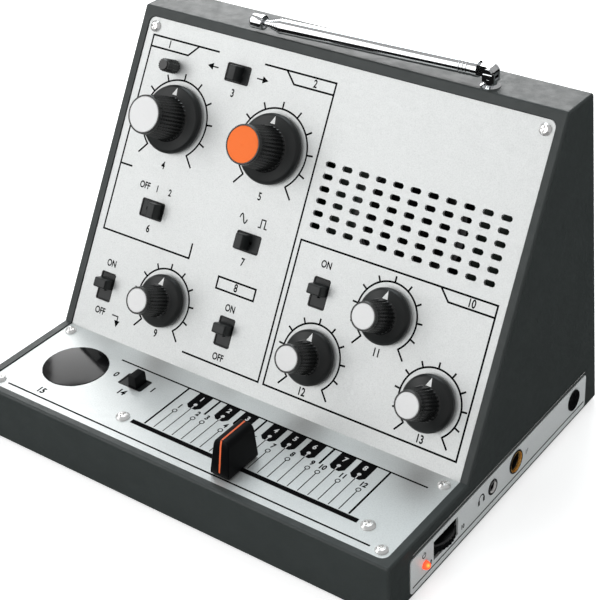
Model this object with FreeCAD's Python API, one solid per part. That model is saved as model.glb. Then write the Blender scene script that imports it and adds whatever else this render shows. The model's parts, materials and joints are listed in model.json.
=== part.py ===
"""Desktop theremin: a wedge-shaped console with knobs, a note fader and a folding antenna.

Frame: +Z up, front towards -Y, origin at the bottom centre of the whole outline.
Everything on the sloping panel is drawn flat, with x across, y up the slope and z
out of the panel, and then placed. Everything on the deck is drawn the same way, with
y towards the back. The fold between the two is y = 0 in both. All sizes are in mm.
"""
import FreeCAD, Part
import math
import os

Vec = FreeCAD.Vector
X_AXIS = Vec(1, 0, 0)
Y_AXIS = Vec(0, 1, 0)
Z_AXIS = Vec(0, 0, 1)

# ---- driving dimensions of the console ----
case_width = 208.4
case_height = 150.9          # rim to flat top
case_depth = 163.6           # front face to the foot of the back
front_height = 23.2          # rim to the outer face of the deck panel
fold_from_front = 55.6
slope_angle = 61.0
top_depth = 19.5
wall = 2.5
bezel_raise = 0.5            # bezel stands this far above the panel
panel_thick = 1.5
ledge_thick = 2.0            # shell under the panel's edge
ledge_front = 7.5            # its width at the panel's front and top edges
ledge_top = 8.2
side_margin = 4.2            # bezel beside the panel
front_margin = 3.8
top_margin = 4.7
panel_gap = 0.3
panel_corner = 3.0
foot_height = 1.6
foot_radius = 8.0
foot_seat = 0.5
foot_inset_x = 19.0
foot_inset_y = 17.0
base_thick = 3.0
base_gap = 0.3

# ---- fasteners ----
screw_head_r = 2.75
screw_head_h = 1.6
screw_shank_r = 1.4
screw_hole_r = 1.7
screw_pilot_gap = 0.05
screw_cross_long = 3.2
screw_cross_wide = 0.7
base_screw_bite = 8.0         # into the boss
panel_screw_bite = 7.0
fader_screw_bite = 5.0
panel_screw_inset = 3.9      # from the panel's side edge
panel_screw_edge = 4.1       # from the panel's front and top edges
fold_screw_y = -4.8
boss_r = 4.0
boss_root = 0.4              # how far a boss runs into the wall
boss_middle_y = 28.0
boss_height = 12.0

# ---- rotary controls ----
pot_body_x = 9.6
pot_body_y = 11.0
pot_depth = 7.0
board_thick = 1.6
bushing_r = 3.5
bushing_top = 2.6
bushing_hole_gap = 0.1
shaft_r = 3.0
shaft_run_gap = 0.05
shaft_top = 13.5
shaft_foot = 3.0             # depth of the shaft in the pot body
nut_flat = 10.0
nut_height = 2.0
big_skirt_r = 15.0
big_grip_low_r = 9.8
big_grip_top_r = 8.4
big_height = 21.8
big_flutes = 24
small_skirt_r = 11.4
small_grip_low_r = 6.9
small_grip_top_r = 5.8
small_height = 18.4
small_flutes = 18
skirt_low = 0.7
skirt_high = 3.6
grip_low = 4.9
flute_depth = 0.55
cap_depth = 1.2
cap_edge = 0.75
press_gap = 0.02
trimmer_r = 3.1
trimmer_top_r = 2.85
trimmer_height = 8.8
trimmer_flutes = 16
trimmer_stem_r = 1.5
trimmer_body = 9.4

# ---- slide switches ----
window_long = 12.8
window_wide = 8.2
window_corner = 0.6
switch_wall = 0.9
switch_slack = 0.3
switch_cover = 0.4
switch_rim_gap = 0.1         # window to the raised rim of the switch
switch_rim_wall = 0.5
slider_plate_long = 12.0
slider_plate_wide = 8.2
slider_plate_thick = 1.5
nub_long = 4.8
nub_wide = 6.8
nub_end_long = 4.1
nub_end_wide = 6.5
nub_height = 5.2
switch_floor = 1.0
two_way_step = 1.4           # nub centre either side of the window centre
three_way_step = 2.8

# ---- deck ----
trigger_from_left = 24.5       # from the panel's left edge
trigger_y = -23.7
trigger_r = 14.0
trigger_gap = 0.3
trigger_flange = 1.0
trigger_crown = 0.9
trigger_travel = 0.7
push_switch_size = 12.0
deck_board_left = 16.0        # board edges from the trigger and the octave switch
deck_board_right = 11.0
deck_board_front = 9.0
deck_board_back = 17.0
octave_from_left = 53.5
octave_y = -18.7
fader_from_right = 75.0       # fader's middle from the panel's right edge
fader_y = -39.4
fader_travel = 100.0
fader_rest_from_middle = -3.0
fader_slot_wide = 1.7
fader_lever_thick = 1.2
fader_lever_long = 6.0
fader_end_room = 5.0         # travel end to slot end
fader_screw_out = 4.75       # slot end to screw
fader_body_wide = 9.2
fader_body_deep = 7.5
fader_screw_r = 3.0
fader_cap_long = 18.8
fader_cap_wide = 10.0
fader_cap_top_back = 7.9      # ridge ends, behind and before the middle
fader_cap_top_front = 6.2
fader_cap_top_wide = 7.0
fader_cap_height = 16.2
fader_cap_lift = 0.9

# ---- grille and speaker ----
grille_columns = 11
grille_rows = 6
grille_pitch_x = 8.14
grille_pitch_y = 5.13
grille_from_right = 50.3
grille_below_top = 53.1
slot_long = 4.85
slot_high = 2.35
slot_corner = 0.7
speaker_r = 25.2
speaker_depth = 20.0
magnet_r = 16.0
magnet_thick = 7.0
sheet = 0.9

# ---- right side ----
strip_front = 14.0           # front face to the strip's front end
strip_back = 11.5
strip_low = 1.3              # above the rim
strip_high = 17.3
strip_thick = 1.0
strip_proud = 0.3
strip_corner = 1.6
led_from_front = 23.7
led_up = 8.9
led_r = 2.5
led_sunk = 0.9                # centre of the dome inside the case side
wheel_from_front = 38.5
wheel_r = 12.5
wheel_proud = 2.7            # past the case side
wheel_thick = 3.6
wheel_top_up = 12.0
wheel_teeth = 40
wheel_window_long = 17.5
wheel_window_low = 6.3
wheel_window_high = 15.0
jack_up = 11.1
phones_from_front = 73.2
phones_bore_r = 1.8
phones_collar_r = 3.25
phones_length = 14.0
main_from_front = 91.7
main_bore_r = 3.2
main_collar_r = 5.05
main_length = 26.0
main_wide = 15.0
phones_wide = 10.0
side_board_reach = 24.0       # volume wheel to the side board's inner edge
side_board_front = 18.0
side_board_back = 9.0
collar_proud = 0.4
collar_gap = 0.1

# ---- antenna ----
antenna_from_right = 36.7      # from the case side
antenna_behind_edge = 4.2    # top front edge to the swivel axis
antenna_drop = 0.9           # degrees down towards the tip at rest
antenna_yaw = 1.8            # degrees the tip stands to the front at rest
antenna_pivot_up = 6.1
antenna_washer_r = 4.0
antenna_washer_h = 1.2
antenna_stud_r = 2.5
antenna_stud_long = 4.0      # below the top wall
antenna_nut_flat = 8.0
antenna_nut_h = 3.0
antenna_spindle_r = 1.5
antenna_fork_r = 2.6
antenna_ear = 1.1
antenna_ear_gap = 2.8
antenna_pin_r = 1.0
antenna_run_gap = 0.05
antenna_tube_start = 5.0     # along the antenna from the hinge pin
antenna_tube_end = 98.6
antenna_tube_d = 6.4
antenna_step_d = 0.7
antenna_step_show = 1.15
antenna_overlap = 12.0
antenna_rod_show = 3.7
antenna_tip_r = 3.2
antenna_tip_long = 6.2
middle_sections = 4

# ---- batteries ----
cell_r = 7.15
cell_long = 50.0
cell_count = 4
cell_gap = 0.5
bay_wall = 1.6
bay_y = 36.0                 # centre of the bay
door_thick = 2.0
door_gap = 0.4
door_pin_r = 0.7
door_pin_long = 1.4
door_grip_wide = 16.0

# ---- placed from the driving dimensions ----
half_width = case_width / 2
inner_half = half_width - wall
rim_z = foot_height
deck_z = rim_z + front_height
top_z = rim_z + case_height
front_y = -case_depth / 2
back_y = case_depth / 2
fold_y = front_y + fold_from_front
tilt = math.radians(slope_angle)
top_front_y = fold_y + (top_z - deck_z) / math.tan(tilt)
top_back_y = top_front_y + top_depth
back_lean = (back_y - top_back_y) / case_height
panel_half = half_width - side_margin
deck_length = fold_from_front - front_margin
slope_length = (top_z - deck_z) / math.sin(tilt) - top_margin
board_z = -panel_thick - pot_depth
antenna_x = half_width - antenna_from_right
antenna_y = top_front_y + antenna_behind_edge
base_top = rim_z + base_thick
mid_x = -wheel_proud / 2     # the wheel stands out on one side only

SLOPE = FreeCAD.Placement(Vec(0, fold_y, deck_z), FreeCAD.Rotation(X_AXIS, slope_angle))
DECK = FreeCAD.Placement(Vec(0, fold_y, deck_z), FreeCAD.Rotation())
ANTENNA = FreeCAD.Placement(
    Vec(antenna_x, antenna_y, top_z + antenna_pivot_up),
    FreeCAD.Rotation(Z_AXIS, antenna_yaw).multiply(FreeCAD.Rotation(Y_AXIS, 180 - antenna_drop)),
)

trigger_x = -panel_half + trigger_from_left
octave_x = -panel_half + octave_from_left
fader_x = panel_half - fader_from_right
fader_rest_x = fader_x + fader_rest_from_middle
grille_x = panel_half - grille_from_right

# ---- where the controls stand on the slope ----
# columns, from the panel's left edge
pitch_from_left = 26.6
decay_from_left = 45.1
trimmer_from_left = 19.7
modulation_from_left = 27.1
drone_from_left = 13.15
# columns, from the middle
slide_pitch_x = -20.6
mix_x = -47.0
waveform_x = -20.6
vibrato_x = -20.4
# columns, from the panel's right edge
level_from_right = 76.9
time_from_right = 48.6
feedback_from_right = 20.7
delay_from_right = 80.8
# rows, from the fold
middle_row = 59.8
lower_row = 24.1
switch_row = 21.0
delay_row = 49.9
# rows, from the panel's top edge or the grille's centre
pitch_below_top = 41.2
mix_below_top = 14.8
trimmer_below_top = 19.2
time_below_grille = 38.0

pitch_row = slope_length - pitch_below_top
mix_row = slope_length - mix_below_top
time_row = slope_length - grille_below_top - time_below_grille

# name: x, y on the slope, large or small
KNOBS = {
    "antenna_pitch": (-panel_half + pitch_from_left, pitch_row, "large"),
    "slide_pitch": (slide_pitch_x, pitch_row, "large"),
    "decay": (-panel_half + decay_from_left, lower_row, "small"),
    "level": (panel_half - level_from_right, lower_row, "small"),
    "time": (panel_half - time_from_right, time_row, "small"),
    "feedback": (panel_half - feedback_from_right, lower_row, "small"),
}
TRIMMER = (-panel_half + trimmer_from_left, slope_length - trimmer_below_top)
# name: panel, x, y, turned upright, nub offset from the window centre
SWITCHES = {
    "mix": ("slope", mix_x, mix_row, False, 0.0),
    "modulation": ("slope", -panel_half + modulation_from_left, middle_row, False, three_way_step),
    "waveform": ("slope", waveform_x, middle_row, False, -two_way_step),
    "drone": ("slope", -panel_half + drone_from_left, switch_row, True, two_way_step),
    "vibrato": ("slope", vibrato_x, switch_row, True, two_way_step),
    "delay": ("slope", panel_half - delay_from_right, delay_row, True, two_way_step),
    "octave": ("deck", octave_x, octave_y, False, two_way_step),
}


# ---- shape helpers ----
def block(x0, x1, y0, y1, z0, z1):
    """Box from its lowest and highest corners."""
    return Part.makeBox(x1 - x0, y1 - y0, z1 - z0, Vec(x0, y0, z0))


def centred_block(long, wide, z0, z1, x=0.0, y=0.0):
    """Box centred on x, y."""
    return block(x - long / 2, x + long / 2, y - wide / 2, y + wide / 2, z0, z1)


def post(radius, z0, z1, x=0.0, y=0.0):
    """Upright cylinder."""
    return Part.makeCylinder(radius, z1 - z0, Vec(x, y, z0))


def rod_x(radius, x0, x1, y=0.0, z=0.0):
    """Cylinder along X."""
    return Part.makeCylinder(radius, x1 - x0, Vec(x0, y, z), X_AXIS)


def rod_y(radius, y0, y1, x=0.0, z=0.0):
    """Cylinder along Y."""
    return Part.makeCylinder(radius, y1 - y0, Vec(x, y0, z), Y_AXIS)


def revolve(profile):
    """Solid of revolution about Z from (radius, z) points."""
    wire = Part.makePolygon([Vec(r, 0, z) for r, z in profile + profile[:1]])
    return Part.Face(wire).revolve(Vec(0, 0, 0), Z_AXIS, 360)


def turned_x(profile):
    """Solid of revolution about X from (radius, x) points."""
    wire = Part.makePolygon([Vec(x, 0, r) for r, x in profile + profile[:1]])
    return Part.Face(wire).revolve(Vec(0, 0, 0), X_AXIS, 360)


def prism_x(profile, x0, x1):
    """Solid of constant (y, z) outline along X."""
    wire = Part.makePolygon([Vec(x0, y, z) for y, z in profile + profile[:1]])
    return Part.Face(wire).extrude(Vec(x1 - x0, 0, 0))


def chamfered_slot(long, high, corner, z0, z1, x=0.0, y=0.0):
    """Upright prism over a rectangle with cut corners."""
    a, b = long / 2, high / 2
    pts = []
    for sx, sy, first in ((1, 1, True), (-1, 1, False), (-1, -1, True), (1, -1, False)):
        near_y = Vec(x + sx * a, y + sy * (b - corner), z0)
        near_x = Vec(x + sx * (a - corner), y + sy * b, z0)
        pts += [near_y, near_x] if first else [near_x, near_y]
    return Part.Face(Part.makePolygon(pts + pts[:1])).extrude(Vec(0, 0, z1 - z0))


def hexagon(flat, z0, z1):
    """Hexagonal prism by its size across flats."""
    radius = flat / math.sqrt(3)
    pts = [
        Vec(radius * math.cos(math.radians(60 * i)), radius * math.sin(math.radians(60 * i)), z0)
        for i in range(7)
    ]
    return Part.Face(Part.makePolygon(pts)).extrude(Vec(0, 0, z1 - z0))


def stacked(outlines):
    """Flat-faced solid through outlines with as many points each, bottom one first."""
    def face(points):
        return Part.Face(Part.makePolygon(points + points[:1]))

    faces = [face(outlines[0][::-1]), face(outlines[-1])]
    for low, high in zip(outlines, outlines[1:]):
        for i in range(len(low)):
            j = (i + 1) % len(low)
            faces.append(face([low[i], low[j], high[j], high[i]]))
    return Part.makeSolid(Part.makeShell(faces))


def rectangle(long, wide, z):
    """Corners of a centred rectangle, counterclockwise."""
    a, b = long / 2, wide / 2
    return [Vec(-a, -b, z), Vec(a, -b, z), Vec(a, b, z), Vec(-a, b, z)]


def fluted(low_r, top_r, z0, z1, count, depth):
    """Tapered grip with V-shaped flutes that shrink with it."""
    outlines = []
    for scale, z in ((1.0, z0), (top_r / low_r, z1)):
        points = []
        for i in range(2 * count):
            r = (low_r - depth * (i % 2)) * scale
            a = math.pi * i / count
            points.append(Vec(r * math.cos(a), r * math.sin(a), z))
        outlines.append(points)
    return stacked(outlines)


def moved(shape, x=0.0, y=0.0, z=0.0):
    """Copy of a shape, shifted."""
    out = shape.copy()
    out.translate(Vec(x, y, z))
    return out


def placed(shape, placement):
    """Copy of a shape drawn flat, put on its panel."""
    out = shape.copy()
    out.Placement = placement.multiply(out.Placement)
    return out


def turned(shape, degrees):
    """Copy turned about Z."""
    out = shape.copy()
    out.rotate(Vec(0, 0, 0), Z_AXIS, degrees)
    return out


def export(name, shape):
    """Write one node, in the frame of the whole outline."""
    out = moved(shape, mid_x)
    out.exportStep("parts/" + name + ".step")


def group(shapes):
    """Several separate solids in one node."""
    return Part.makeCompound(shapes)


def side_y(from_front):
    """Place along the side, measured from the front face."""
    return front_y + from_front


def pan_head_screw(radius, length, shank):
    """Domed screw with a cross recess; the underside of its head is at z = 0."""
    dome = revolve([(0, 0), (radius, 0), (radius * 0.96, 0.6), (radius * 0.6, 1.3), (0, 1.5)])
    slot_size = radius * 0.28
    cross = centred_block(radius * 1.1, slot_size, 0.8, 2.0).fuse(
        centred_block(slot_size, radius * 1.1, 0.8, 2.0)
    )
    return dome.cut(cross).fuse(post(shank, -length, 0))


# ---- case ----
def case_outline(inset_front, inset_deck, inset_slope, inset_top, inset_back):
    """Side outline of the case, each face moved inwards by its own inset."""
    bezel_z = deck_z + bezel_raise
    y0 = front_y + inset_front
    z1 = bezel_z - inset_deck
    z2 = top_z - inset_top
    out = bezel_raise - inset_slope
    # a point on the slope at height z, on the plane that lies `out` off the panel
    def slope_y(z):
        along = (z - deck_z - out * math.cos(tilt)) / math.sin(tilt)
        return fold_y + along * math.cos(tilt) - out * math.sin(tilt)

    inset_y = inset_back * math.sqrt(1 + back_lean ** 2)

    def back_at(z):
        return back_y - back_lean * (z - rim_z) - inset_y

    return [
        (y0, rim_z),
        (y0, z1),
        (slope_y(z1), z1),
        (slope_y(z2), z2),
        (back_at(z2), z2),
        (back_at(rim_z), rim_z),
    ]


def panel_profile(thick, front, length, out=0.0):
    """(y, z) outline of a bent sheet whose outer face lies `out` above the panel's."""
    half = tilt / 2
    cos_t, sin_t = math.cos(tilt), math.sin(tilt)

    def fold_point(offset):
        return (-offset * math.tan(half), offset)

    low = out - thick
    top_out = (length * cos_t - out * sin_t, length * sin_t + out * cos_t)
    top_in = (length * cos_t - low * sin_t, length * sin_t + low * cos_t)
    return [(-front, out), fold_point(out), top_out, top_in, fold_point(low), (-front, low)]


def bent_sheet(thick, half, front, length, out=0.0):
    """Bent sheet over deck and slope, in the case's own axes."""
    flat = prism_x(panel_profile(thick, front, length, out), -half, half)
    return moved(flat, 0, fold_y, deck_z)


def corner_cutters(half, front, length, radius, z0, z1):
    """Pieces that round the four free corners of a bent sheet."""
    cutters = []
    for sx in (-1, 1):
        for placement, edge, sy in ((SLOPE, length, 1), (DECK, -front, -1)):
            x_c, y_c = sx * (half - radius), edge - sy * radius
            square = block(
                min(x_c, x_c + sx * 2 * radius), max(x_c, x_c + sx * 2 * radius),
                min(y_c, y_c + sy * 2 * radius), max(y_c, y_c + sy * 2 * radius), z0, z1)
            cutters.append(placed(square.cut(post(radius, z0, z1, x_c, y_c)), placement))
    return cutters


def screw_places():
    """The panel's six screws: placement, x, y."""
    x = panel_half - panel_screw_inset
    for sx in (-x, x):
        yield SLOPE, sx, slope_length - panel_screw_edge
        yield DECK, sx, fold_screw_y
        yield DECK, sx, -deck_length + panel_screw_edge


def boss_places():
    """The six screws that hold the base, at the sides of the case."""
    inset = wall + boss_r - boss_root
    for sx in (-1, 1):
        for y in (front_y + inset, boss_middle_y, back_y - inset - boss_height * back_lean):
            yield sx * (half_width - inset), y


def build_case():
    """Moulded shell, open below, with the recess and ledge for the panel."""
    shell = prism_x(case_outline(0, 0, 0, 0, 0), -half_width, half_width)
    soft = []
    for edge in shell.Edges:
        mid = edge.valueAt((edge.FirstParameter + edge.LastParameter) / 2)
        box = edge.BoundBox
        at_rim = mid.z < rim_z + 0.01
        at_fold = abs(mid.y - fold_y) < 1.5 and abs(mid.z - deck_z) < 1.5
        if not at_rim and not (at_fold and box.XLength > 1):
            soft.append(edge)
    shell = shell.makeFillet(1.1, soft)
    under = bezel_raise + panel_thick + ledge_thick
    cavity = prism_x(case_outline(wall, under, under, wall, wall), -inner_half, inner_half)
    shell = shell.cut(cavity)
    recess_half = panel_half + panel_gap
    front = deck_length + panel_gap
    length = slope_length + panel_gap
    deep = panel_thick + 2
    recess = bent_sheet(deep, recess_half, front, length, 2.0)
    round_off = corner_cutters(recess_half, front, length, panel_corner + panel_gap, -5, 5)
    shell = shell.cut(recess.cut(Part.makeCompound(round_off)))
    open_half = panel_half - 2 * panel_screw_inset
    opening = bent_sheet(12, open_half, deck_length - ledge_front, slope_length - ledge_top, 4.0)
    shell = shell.cut(opening)
    bosses = []
    for x, y in boss_places():
        bosses.append(post(boss_r, base_top, base_top + boss_height, x, y))
    pocket = prism_x(case_outline(0.5, under - 1, under - 1, 1, 0.5), -inner_half - 1, inner_half + 1)
    shell = shell.fuse(group(bosses).common(pocket))
    nut_room = antenna_nut_flat / math.sqrt(3) + 0.3
    under_top = top_z - wall
    holes = [
        post(antenna_stud_r + 0.1, under_top - 1, top_z + 1, antenna_x, antenna_y),
        post(nut_room, under_top - antenna_stud_long, under_top, antenna_x, antenna_y),
    ]
    for x, y in boss_places():
        end = base_top + base_screw_bite + 1
        holes.append(post(screw_shank_r + screw_pilot_gap, base_top - 1, end, x, y))
    for placement, x, y in screw_places():
        holes.append(placed(post(screw_shank_r + screw_pilot_gap, -12, 1, x, y), placement))
    holes += side_cuts(half_width - 2 * wall, half_width + 1, 1.9)
    strip = side_outline(half_width - strip_thick + strip_proud, half_width + 1, panel_gap / 2)
    shell = shell.cut(group(holes))
    return shell.cut(strip).removeSplitter()


def side_outline(x0, x1, grow=0.0):
    """Slab with the outline of the side strip."""
    y0 = side_y(strip_front) - grow
    y1 = back_y - strip_back + grow
    slab = block(x0, x1, y0, y1, rim_z + strip_low - grow, rim_z + strip_high + grow)
    edges = [e for e in slab.Edges if e.BoundBox.XLength > 0.1]
    return slab.makeFillet(strip_corner, edges)


def side_cuts(x0, x1, window_room=0.0):
    """Holes of the side: jacks, lamp and wheel window."""
    z_jack = rim_z + jack_up
    cuts = [
        rod_x(main_collar_r + collar_gap, x0, x1, side_y(main_from_front), z_jack),
        rod_x(phones_collar_r + collar_gap, x0, x1, side_y(phones_from_front), z_jack),
        rod_x(led_r + collar_gap, x0, x1, side_y(led_from_front), rim_z + led_up),
    ]
    half = wheel_window_long / 2 + window_room
    y = side_y(wheel_from_front)
    cuts.append(block(x0, x1, y - half, y + half, rim_z + wheel_window_low, rim_z + wheel_window_high))
    return cuts


def build_base():
    """Base plate with the battery bay, its screws' seats and the board posts."""
    y0 = front_y + wall + base_gap
    y1 = back_y - (wall + base_gap) * math.sqrt(1 + back_lean ** 2) - back_lean * base_thick
    half = inner_half - base_gap
    plate = block(-half, half, y0, y1, rim_z, base_top)
    bay_half, bay_len = bay_size()
    outer_x = bay_half + bay_wall
    outer_y = bay_len / 2 + bay_wall
    bay_top = rim_z + door_thick + 2 * cell_r + 2 * cell_gap
    shell = block(-outer_x, outer_x, bay_y - outer_y, bay_y + outer_y, rim_z, bay_top + bay_wall)
    hollow = block(-bay_half, bay_half, bay_y - bay_len / 2, bay_y + bay_len / 2, rim_z, bay_top)
    door_y0 = bay_y - bay_len / 2 - door_gap - door_thick / 2
    door_y1 = bay_y + bay_len / 2 + door_gap
    mouth = block(-bay_half - door_gap, bay_half + door_gap, door_y0 - door_gap, door_y1, rim_z - 1,
                  rim_z + door_thick + 0.2)
    plate = plate.fuse(shell).cut(hollow).cut(mouth)
    pin_reach = bay_half + door_pin_long + 0.3
    pin_hole = rod_x(door_pin_r + 0.1, -pin_reach, pin_reach, door_hinge()[0], door_hinge()[1])
    cuts = [pin_hole]
    for x, y in boss_places():
        cuts.append(post(screw_hole_r, rim_z - 1, base_top + 1, x, y))
        cuts.append(post(screw_head_r + 0.3, rim_z - 1, rim_z + screw_head_h + 0.1, x, y))
    for x, y in foot_places():
        cuts.append(post(foot_radius + 0.1, rim_z - 1, rim_z + foot_seat, x, y))
    plate = plate.cut(group(cuts))
    posts = [post(2.5, base_top, deck_z + board_z - board_thick, x, fold_y + y)
             for x, y in deck_board_corners(4.0)]
    return plate.fuse(posts).removeSplitter()


def bay_size():
    """Half width and length of the battery bay."""
    return cell_count * (cell_r + cell_gap / 2) + cell_gap, cell_long + 3 * cell_gap


def door_hinge():
    """(y, z) of the battery door's hinge axis."""
    return bay_y - bay_size()[1] / 2 - door_gap, rim_z + door_thick / 2


def foot_places():
    """Centres of the four feet."""
    for sx in (-1, 1):
        for y in (front_y + foot_inset_y, back_y - foot_inset_y):
            yield sx * (half_width - foot_inset_x), y


def build_feet():
    """Four rubber feet in their seats."""
    foot = revolve([
        (0, 0), (foot_radius - 0.6, 0), (foot_radius, 0.6),
        (foot_radius, foot_height + foot_seat), (0, foot_height + foot_seat)])
    return group([moved(foot, x, y) for x, y in foot_places()])


def build_base_screws():
    """Six screws from below, heads sunk in the base."""
    head_top = rim_z + screw_head_h
    screws = []
    for x, y in boss_places():
        head = post(screw_head_r, rim_z, head_top, x, y)
        cross = centred_block(screw_cross_long, screw_cross_wide, rim_z - 1, rim_z + 0.9, x, y).fuse(
            centred_block(screw_cross_wide, screw_cross_long, rim_z - 1, rim_z + 0.9, x, y))
        shank = post(screw_shank_r, head_top, base_top + base_screw_bite, x, y)
        screws.append(head.cut(cross).fuse(shank))
    return group(screws)


def build_batteries():
    """Four cells side by side."""
    cells = []
    pitch = 2 * cell_r + cell_gap
    first = -pitch * (cell_count - 1) / 2
    z = rim_z + door_thick + cell_gap + cell_r
    for i in range(cell_count):
        y0 = bay_y - cell_long / 2
        body = rod_y(cell_r, y0, y0 + cell_long - 1.5, first + i * pitch, z)
        tip = rod_y(2.7, y0 + cell_long - 1.5, y0 + cell_long, first + i * pitch, z)
        cell = body.fuse(tip)
        if i % 2:
            cell.rotate(Vec(first + i * pitch, bay_y, z), Z_AXIS, 180)
        cells.append(cell)
    return group(cells)


def build_battery_door():
    """Door with a round hinge edge, two pins and a ribbed thumb grip."""
    bay_half, bay_len = bay_size()
    y_hinge, z_hinge = door_hinge()
    y1 = bay_y + bay_len / 2
    half = bay_half
    door = block(-half, half, y_hinge, y1, rim_z, rim_z + door_thick)
    door = door.fuse(rod_x(door_thick / 2, -half, half, y_hinge, z_hinge))
    door = door.fuse(rod_x(door_pin_r, -half - door_pin_long, half + door_pin_long, y_hinge, z_hinge))
    ribs = [centred_block(door_grip_wide, 0.8, rim_z - 1, rim_z + 0.5, 0, y1 - 4 - 2 * i) for i in range(5)]
    return door.cut(group(ribs)).removeSplitter()


# ---- front panel ----
def grille_slots(z0, z1):
    """Rows of sound slots in front of the speaker."""
    slots = []
    x0 = grille_x - grille_pitch_x * (grille_columns - 1) / 2
    y0 = grille_y() - grille_pitch_y * (grille_rows - 1) / 2
    for i in range(grille_columns):
        for j in range(grille_rows):
            x, y = x0 + i * grille_pitch_x, y0 + j * grille_pitch_y
            slots.append(chamfered_slot(slot_long, slot_high, slot_corner, z0, z1, x, y))
    return slots


def grille_y():
    """Height of the grille's centre on the slope."""
    return slope_length - grille_below_top


def switch_place(name):
    """Placement of a switch drawn at the origin with its travel along x."""
    panel, x, y, upright, _ = SWITCHES[name]
    spot = FreeCAD.Placement(Vec(x, y, 0), FreeCAD.Rotation(Z_AXIS, 90 if upright else 0))
    return (SLOPE if panel == "slope" else DECK).multiply(spot)


def build_panel():
    """Bent aluminium panel with every hole that the controls need."""
    panel = bent_sheet(panel_thick, panel_half, deck_length, slope_length)
    cuts = corner_cutters(panel_half, deck_length, slope_length, panel_corner, -5, 5)
    low, high = -panel_thick - 1, 1
    on_slope = grille_slots(low, high)
    for x, y, _ in KNOBS.values():
        on_slope.append(post(bushing_r + bushing_hole_gap, low, high, x, y))
    on_slope.append(post(trimmer_stem_r + 0.4, low, high, *TRIMMER))
    cuts.append(placed(group(on_slope), SLOPE))
    window = chamfered_slot(window_long, window_wide, window_corner, low, high)
    cuts += [placed(window, switch_place(name)) for name in SWITCHES]
    slot_half = fader_travel / 2 + fader_end_room
    on_deck = [
        post(trigger_r + trigger_gap, low, high, trigger_x, trigger_y),
        chamfered_slot(2 * slot_half, fader_slot_wide, 0.4, low, high, fader_x, fader_y),
    ]
    for sx in (-1, 1):
        x = fader_x + sx * (slot_half + fader_screw_out)
        on_deck.append(post(screw_hole_r, low, high, x, fader_y))
    cuts.append(placed(group(on_deck), DECK))
    for placement, x, y in screw_places():
        cuts.append(placed(post(screw_hole_r, low, high, x, y), placement))
    return panel.cut(cuts).removeSplitter()


def build_panel_screws():
    """Six small domed screws that hold the panel."""
    screw = pan_head_screw(2.6, panel_thick + panel_screw_bite, screw_shank_r)
    return group([placed(moved(screw, x, y), placement) for placement, x, y in screw_places()])


# ---- knobs and pots ----
def knob_sizes(kind):
    """Skirt, grip bottom, grip top, height and flutes of a knob."""
    if kind == "large":
        return big_skirt_r, big_grip_low_r, big_grip_top_r, big_height, big_flutes
    return small_skirt_r, small_grip_low_r, small_grip_top_r, small_height, small_flutes


def build_knob(kind):
    """Skirted, fluted knob with a bore for its shaft, and the shaft itself."""
    skirt_r, low_r, top_r, height, flutes = knob_sizes(kind)
    rim = height - cap_depth - 0.6
    grip = fluted(low_r, top_r + 0.1, grip_low - 0.6, rim, flutes, flute_depth)
    body = revolve([
        (0, skirt_low), (skirt_r - 0.2, skirt_low), (skirt_r, skirt_low + 0.3),
        (skirt_r, skirt_high - 1.0), (skirt_r - 0.6, skirt_high), (low_r - flute_depth, grip_low),
        (0, grip_low)])
    collar = revolve([(0, rim), (top_r, rim), (top_r, height - 0.1), (top_r - 0.1, height), (0, height)])
    knob = body.fuse([grip, collar])
    hollow = post(skirt_r - 1.4, 0, skirt_low + 1.5).fuse(post(6.4, 0, bushing_top + 0.5))
    seat = post(top_r - cap_edge, height - cap_depth, height + 1)
    bore = post(shaft_r + press_gap, 0, shaft_top + 0.4)
    knob = knob.cut([hollow, seat, bore]).removeSplitter()
    shaft = post(shaft_r, -panel_thick - shaft_foot, shaft_top)
    return knob, shaft


def build_cap(kind):
    """Coloured disc pressed into the knob's end, slightly crowned."""
    _, _, top_r, height, _ = knob_sizes(kind)
    r = top_r - cap_edge - press_gap
    low = height - cap_depth
    return revolve([(0, low), (r, low), (r, height - 0.15), (r - 0.25, height + 0.05), (0, height + 0.15)])


def build_pot():
    """Pot body with its threaded bushing."""
    body = centred_block(pot_body_x, pot_body_y, board_z, -panel_thick)
    body = body.fuse(post(bushing_r, -panel_thick, bushing_top))
    return body.cut(post(shaft_r + shaft_run_gap, -panel_thick - shaft_foot - 0.2, bushing_top + 1))


def build_pot_nut():
    """Hexagon nut on the bushing, under the knob's skirt."""
    return hexagon(nut_flat, 0, nut_height).cut(post(bushing_r + 0.03, -1, nut_height + 1))


def on_slope_group(shape, places):
    """Copies of a flat-drawn shape at several places of the slope."""
    return group([placed(moved(shape, x, y), SLOPE) for x, y in places])


def build_trimmer():
    """Small fluted trimmer knob with its stem, and the part below the panel."""
    grip = fluted(trimmer_r, trimmer_top_r, 0.4, trimmer_height - 0.5, trimmer_flutes, 0.3)
    end = revolve([
        (0, trimmer_height - 0.5), (trimmer_top_r - 0.3, trimmer_height - 0.5),
        (trimmer_top_r - 0.7, trimmer_height), (0, trimmer_height)])
    stem = post(trimmer_stem_r, -panel_thick - 4.0, 0.4)
    knob = grip.fuse([end, stem]).removeSplitter()
    body = centred_block(trimmer_body, trimmer_body, board_z, -panel_thick)
    body = body.cut(post(trimmer_stem_r + shaft_run_gap, -panel_thick - 4.2, 0))
    return knob, body


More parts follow.
